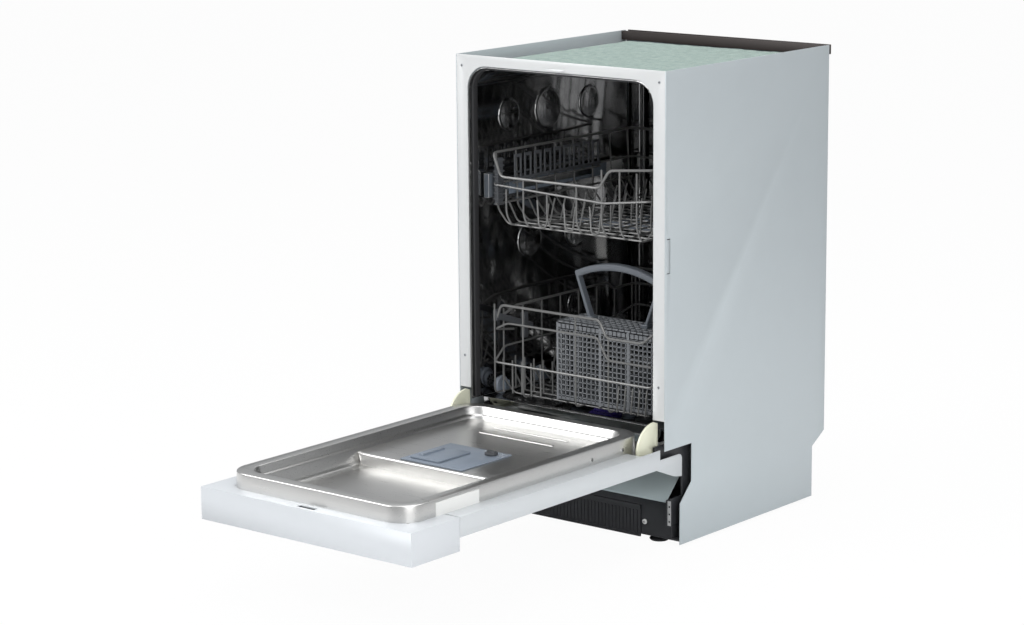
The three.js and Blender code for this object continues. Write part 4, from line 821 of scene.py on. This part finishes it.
def screws():
    """Screws of the front frame, of the liner's edges and of the rear panel."""
    heights = (HEIGHT - 19, 285)
    front = [(at(side * (HALF - 13), 1.2, z), "Y", -1) for side in SIDES for z in heights]
    screw_set("frame_screws", "cabinet", front, 3.6, "light_plastic")
    edge = [(at(side * (LINER_X1 - 1.2), y, RIM_Z - 18), "X", side) for side in SIDES for y in (-74, -157)]
    screw_set("liner_screws", "door", edge, 4.4)
    back = [(at(x, PANEL_BACK - 0.4, z), "Y", 1) for x in (-205, 205) for z in (180, 420, 700)]
    screw_set("rear_screws", "cabinet", back, 3.0)


def felt_mat():
    """The insulation mat with low lumps that fade out towards its edges."""
    x0, x1, y0, y1, z0, z1 = limits("insulation_mat")
    columns, rows = 90, 96
    lump_height, fade = 1.3, 6
    below_top = 1.6

    def top(x, y):
        coarse = noise.noise(Vector((x * 0.05, y * 0.05, 3.0)))
        fine = noise.noise(Vector((x, y, 9.0)) * 0.3)
        edge = min(x - x0, x1 - x, y - y0, y1 - y, fade) / fade
        return z1 - below_top + (coarse + 0.6 * fine) * lump_height * edge - (1 - edge) * below_top

    def build(bm):
        xs = spread(columns, x0, x1)
        grid = [[bm.verts.new(at(x, y, top(x, y))) for x in xs] for y in spread(rows, y0, y1)]
        for low, high in zip(grid, grid[1:]):
            for i in range(columns - 1):
                bm.faces.new([low[i], low[i + 1], high[i + 1], high[i]])
        right = [line[-1] for line in grid[1:]]
        left = [line[0] for line in grid[-2:0:-1]]
        border = grid[0] + right + grid[-1][-2::-1] + left
        foot = [bm.verts.new(Vector((v.co.x, v.co.y, z0 * MM))) for v in border]
        for i in range(len(border)):
            j = (i + 1) % len(border)
            bm.faces.new([border[i], border[j], foot[j], foot[i]])
        bm.faces.new(foot)
    piece("felt_mat", mesh_of(build), "felt", "cabinet", ("insulation_mat",), smooth=80)


def mount_plates():
    """A small bright plate with three holes at the foot of each hinge bracket, the holes drawn as dark
    discs of painted shade.
    """
    front = limits("kick_cover")[2] - 20
    low, high = 42, 85
    plates, holes = [], []
    for side in SIDES:
        x0, x1 = limits(f"hinge_mount_{SIDE_NAME[side]}")[:2]
        outer = x1 if side > 0 else x0
        near, far = sorted((outer - side * 7, outer - side * 0.1))
        plates.append((near, far, front - 0.1, front + 1, low, high))
        for z in (49, 62, 75):
            holes.append(([(0, -0.2), (1.6, -0.2), (1.6, 0.5)], at(outer - side * 3.5, front, z), "Y"))
    piece("mount_plates", blocks(plates), "bright", "cabinet", smooth=0)
    # the holes are thin discs of painted shade
    piece("mount_plate_holes", turned(holes, 16), "hole_painted_shade", "cabinet")


def kick_cover():
    """The plinth plate with upright ribs between a top and a bottom strip, and its two screws."""
    x0, x1, y0, y1, z0, z1 = limits("kick_cover")
    boxes = [
        (x0, x1, y0 - 1.4, y1, z1 - 7, z1),
        (x0, x1, y0 - 1.2, y1, z0, z0 + 4),
        (x0, x1, y0, y1, z0, z1),
    ]
    boxes += [(x - 1.2, x + 1.2, y0 - 0.9, y0 + 0.8, z0 + 6, z1 - 10) for x in spread(36, x0 + 8, x1 - 8)]
    piece("kick_cover_look", blocks(boxes), "black_plastic", "cabinet", ("kick_cover",), 0)
    places = [(at(x, y0 - 0.4, 34), "Y", -1) for x in (-150, 150)]
    screw_set("kick_screws", "cabinet", places, 4.5, "white_screw")


def rail_parts():
    """A plastic cap on the front of each rail, and a dark web that leaves the first quarter bright."""
    for side in SIDES:
        name = SIDE_NAME[side]
        x0, x1, y0, y1, z0, z1 = limits(f"rail_{name}")
        cap = (x0 - 0.35, x1 + 0.35, y0 - 0.3, y0 + 16.2, z0 - 0.3, z1 + 0.3)
        made = piece(f"rail_cap_{name}", blocks([cap]), "handle_plastic", "upper_rails")
        soften(made, 1.8, 4)
        outer = x1 if side > 0 else x0
        near, far = sorted((outer - side * 0.6, outer + side * 0.1))
        web = (near, far, y0 + 95, y1, z0 + 3.4, z0 + 20.6)
        piece(f"rail_web_{name}", blocks([web]), "dark_rail", "upper_rails", smooth=0)


def spray_nozzles():
    """Nozzles on top of both spray arms, each a shallow hole filled with painted shade."""
    for name in ("lower_spray_arm", "upper_spray_arm"):
        _, _, y0, y1, _, z1 = limits(name)
        cy = (y0 + y1) / 2
        profile = [(0, 0.3), (2.2, 0.3), (2.2, -1)]
        holes = []
        for side in SIDES:
            for along in (35, 62, 90, 118, 142):
                holes.append((profile, at(side * along, cy + side * 4, z1 - 2), "Z"))
        # each nozzle hole is filled with painted shade
        piece(name + "_nozzles", turned(holes, 14), "hole_painted_shade", name)


def tub_relief():
    """Pressed ribs on the back wall and round bosses on the side walls."""
    x0, x1, y0, _, z0, z1 = limits("tub_back")
    ribs = [(x - 8, x + 8, y0 - 4.6, y0 + 0.5, z0 + 36, z1 - 46) for x in spread(11, x0 + 22, x1 - 22)]
    soften(piece("tub_ribs", blocks(ribs), "tub", "cabinet"), 4.5, 5)
    wall = limits("tub_wrapper")[1] - 1.2
    top_row = [(110, 700, 30), (220, 700, 38), (340, 700, 30)]
    lower_rows = [(165, 470, 34), (300, 470, 34), (165, 330, 26), (300, 330, 26)]
    bosses = []
    for side in SIDES:
        for y, z, r in top_row + lower_rows:
            profile = [(r, side * 0.5), (r, -side * 0.3), (r - 2, -side * 1.6), (r - 6, -side * 1.8),
                       (r - 8, -side * 0.8), (0, -side * 0.6)]
            bosses.append((profile, at(side * wall, y, z), "X"))
    piece("tub_bosses", turned(bosses, 48), "tub", "cabinet", smooth=70)


# ================================================================ CAD nodes shown as they are
def dress_nodes():
    """Gives every CAD node its finish, and rounds the edges of those that still show."""
    slots = {row["node"]: row["material_slot"] for row in frame["record"]["subparts"]}
    special = {
        "tub_wrapper": "tub", "tub_back": "tub", "tub_floor": "tub", "door_panel": "door_skin",
        "hinge_mount_left": "black_plastic", "hinge_mount_right": "black_plastic", "base_deck": "deck",
    }
    for name, node in nodes.items():
        node.data.materials.clear()
        node.data.materials.append(MATERIALS[special.get(name, slots[name])])
        node.data.shade_smooth()
        node.data.set_sharp_from_angle(angle=math.radians(32))
        if node.hide_render:
            continue
        if name == "control_fascia":
            soften(node, FASCIA_EDGE, 3)
        else:
            soften(node, EDGE)


# ================================================================ stage
def stage_floor():
    bpy.ops.mesh.primitive_plane_add(size=30, location=(0, 0, -0.0005))
    floor = bpy.context.object
    made = Nodes("pale_floor")
    made.set(Base_Color=(0.86, 0.86, 0.86, 1), Roughness=0.9)
    glow = made.add("Emission", Color=(1, 1, 1, 1), Strength=1.0)
    ray = made.add("LightPath")
    share = made.add("Math", operation="MULTIPLY")
    share.inputs[1].default_value = 0.96
    made.link(ray.outputs["Is Camera Ray"], share.inputs[0])
    mix = made.add("MixShader")
    made.link(share.outputs[0], mix.inputs["Fac"])
    made.link(made.shader.outputs[0], mix.inputs[1])
    made.link(glow.outputs[0], mix.inputs[2])
    made.link(mix.outputs[0], made.tree.nodes["Material Output"].inputs["Surface"])
    floor.data.materials.append(made.material)


def studio_world():
    world = bpy.data.worlds.new("studio")
    bpy.context.scene.world = world
    world.use_nodes = True
    tree = world.node_tree
    new = tree.nodes.new
    back = tree.nodes["Background"]
    coords = new("ShaderNodeTexCoord")
    split = new("ShaderNodeSeparateXYZ")
    ramp = new("ShaderNodeValToRGB")
    ramp.color_ramp.elements[0].position = 0.35
    ramp.color_ramp.elements[0].color = (0.30, 0.31, 0.32, 1)
    ramp.color_ramp.elements[1].position = 0.80
    ramp.color_ramp.elements[1].color = (0.95, 0.97, 1.0, 1)
    tree.links.new(coords.outputs["Generated"], split.inputs[0])
    half = new("ShaderNodeMath")
    half.operation = "MULTIPLY_ADD"
    half.inputs[1].default_value = 0.5
    half.inputs[2].default_value = 0.5
    tree.links.new(split.outputs["Z"], half.inputs[0])
    tree.links.new(half.outputs[0], ramp.inputs["Fac"])
    tree.links.new(ramp.outputs["Color"], back.inputs["Color"])
    back.inputs["Strength"].default_value = 0.55
    white = new("ShaderNodeBackground")
    white.inputs["Color"].default_value = (1, 1, 1, 1)
    ray = new("ShaderNodeLightPath")
    mix = new("ShaderNodeMixShader")
    tree.links.new(ray.outputs["Is Camera Ray"], mix.inputs["Fac"])
    tree.links.new(back.outputs[0], mix.inputs[1])
    tree.links.new(white.outputs[0], mix.inputs[2])
    tree.links.new(mix.outputs[0], tree.nodes["World Output"].inputs["Surface"])


def area_light(name, place, target, size, power):
    data = bpy.data.lights.new(name, "AREA")
    data.shape = "RECTANGLE"
    data.size, data.size_y = size
    data.energy = power
    lamp = bpy.data.objects.new(name, data)
    bpy.context.scene.collection.objects.link(lamp)
    lamp.location = place
    lamp.rotation_euler = (Vector(target) - Vector(place)).to_track_quat("-Z", "Y").to_euler()


def camera():
    """The viewpoint of the product picture: place, direction and lens."""
    azimuth, elevation, roll = (math.radians(a) for a in (39.35, 11.56, -0.463))
    ahead = Vector((-math.sin(azimuth) * math.cos(elevation), math.cos(azimuth) * math.cos(elevation),
                    -math.sin(elevation)))
    right = Vector((math.cos(azimuth), math.sin(azimuth), 0))
    up = right.cross(ahead)
    tilted_right = right * math.cos(roll) + up * math.sin(roll)
    tilted_up = up * math.cos(roll) - right * math.sin(roll)
    turn = Matrix((tilted_right, tilted_up, -ahead)).transposed().to_4x4()
    data = bpy.data.cameras.new("camera")
    data.sensor_width = 36
    data.lens = 100.51
    data.clip_end = 100
    made = bpy.data.objects.new("camera", data)
    bpy.context.scene.collection.objects.link(made)
    made.matrix_world = Matrix.Translation(at(2966.3, -3744.0, 1364.7)) @ turn
    bpy.context.scene.camera = made


lower_basket()
wheels()
upper_basket()
cup_shelf()
cutlery_basket()
cutlery_lid()
cutlery_handle()
door_liner()
door_details()
screws()
felt_mat()
mount_plates()
kick_cover()
rail_parts()
spray_nozzles()
tub_relief()
dress_nodes()

stage_floor()
studio_world()
area_light("key", (-2.2, -2.6, 2.6), (0, 0, 0.4), (2.4, 2.0), 85)
area_light("fill", (3.2, -1.6, 1.6), (0, 0, 0.4), (2.2, 2.2), 55)
area_light("top", (0.2, 0.4, 3.0), (0, 0, 0.5), (2.6, 2.6), 45)
camera()
bpy.context.scene.view_settings.view_transform = "Standard"
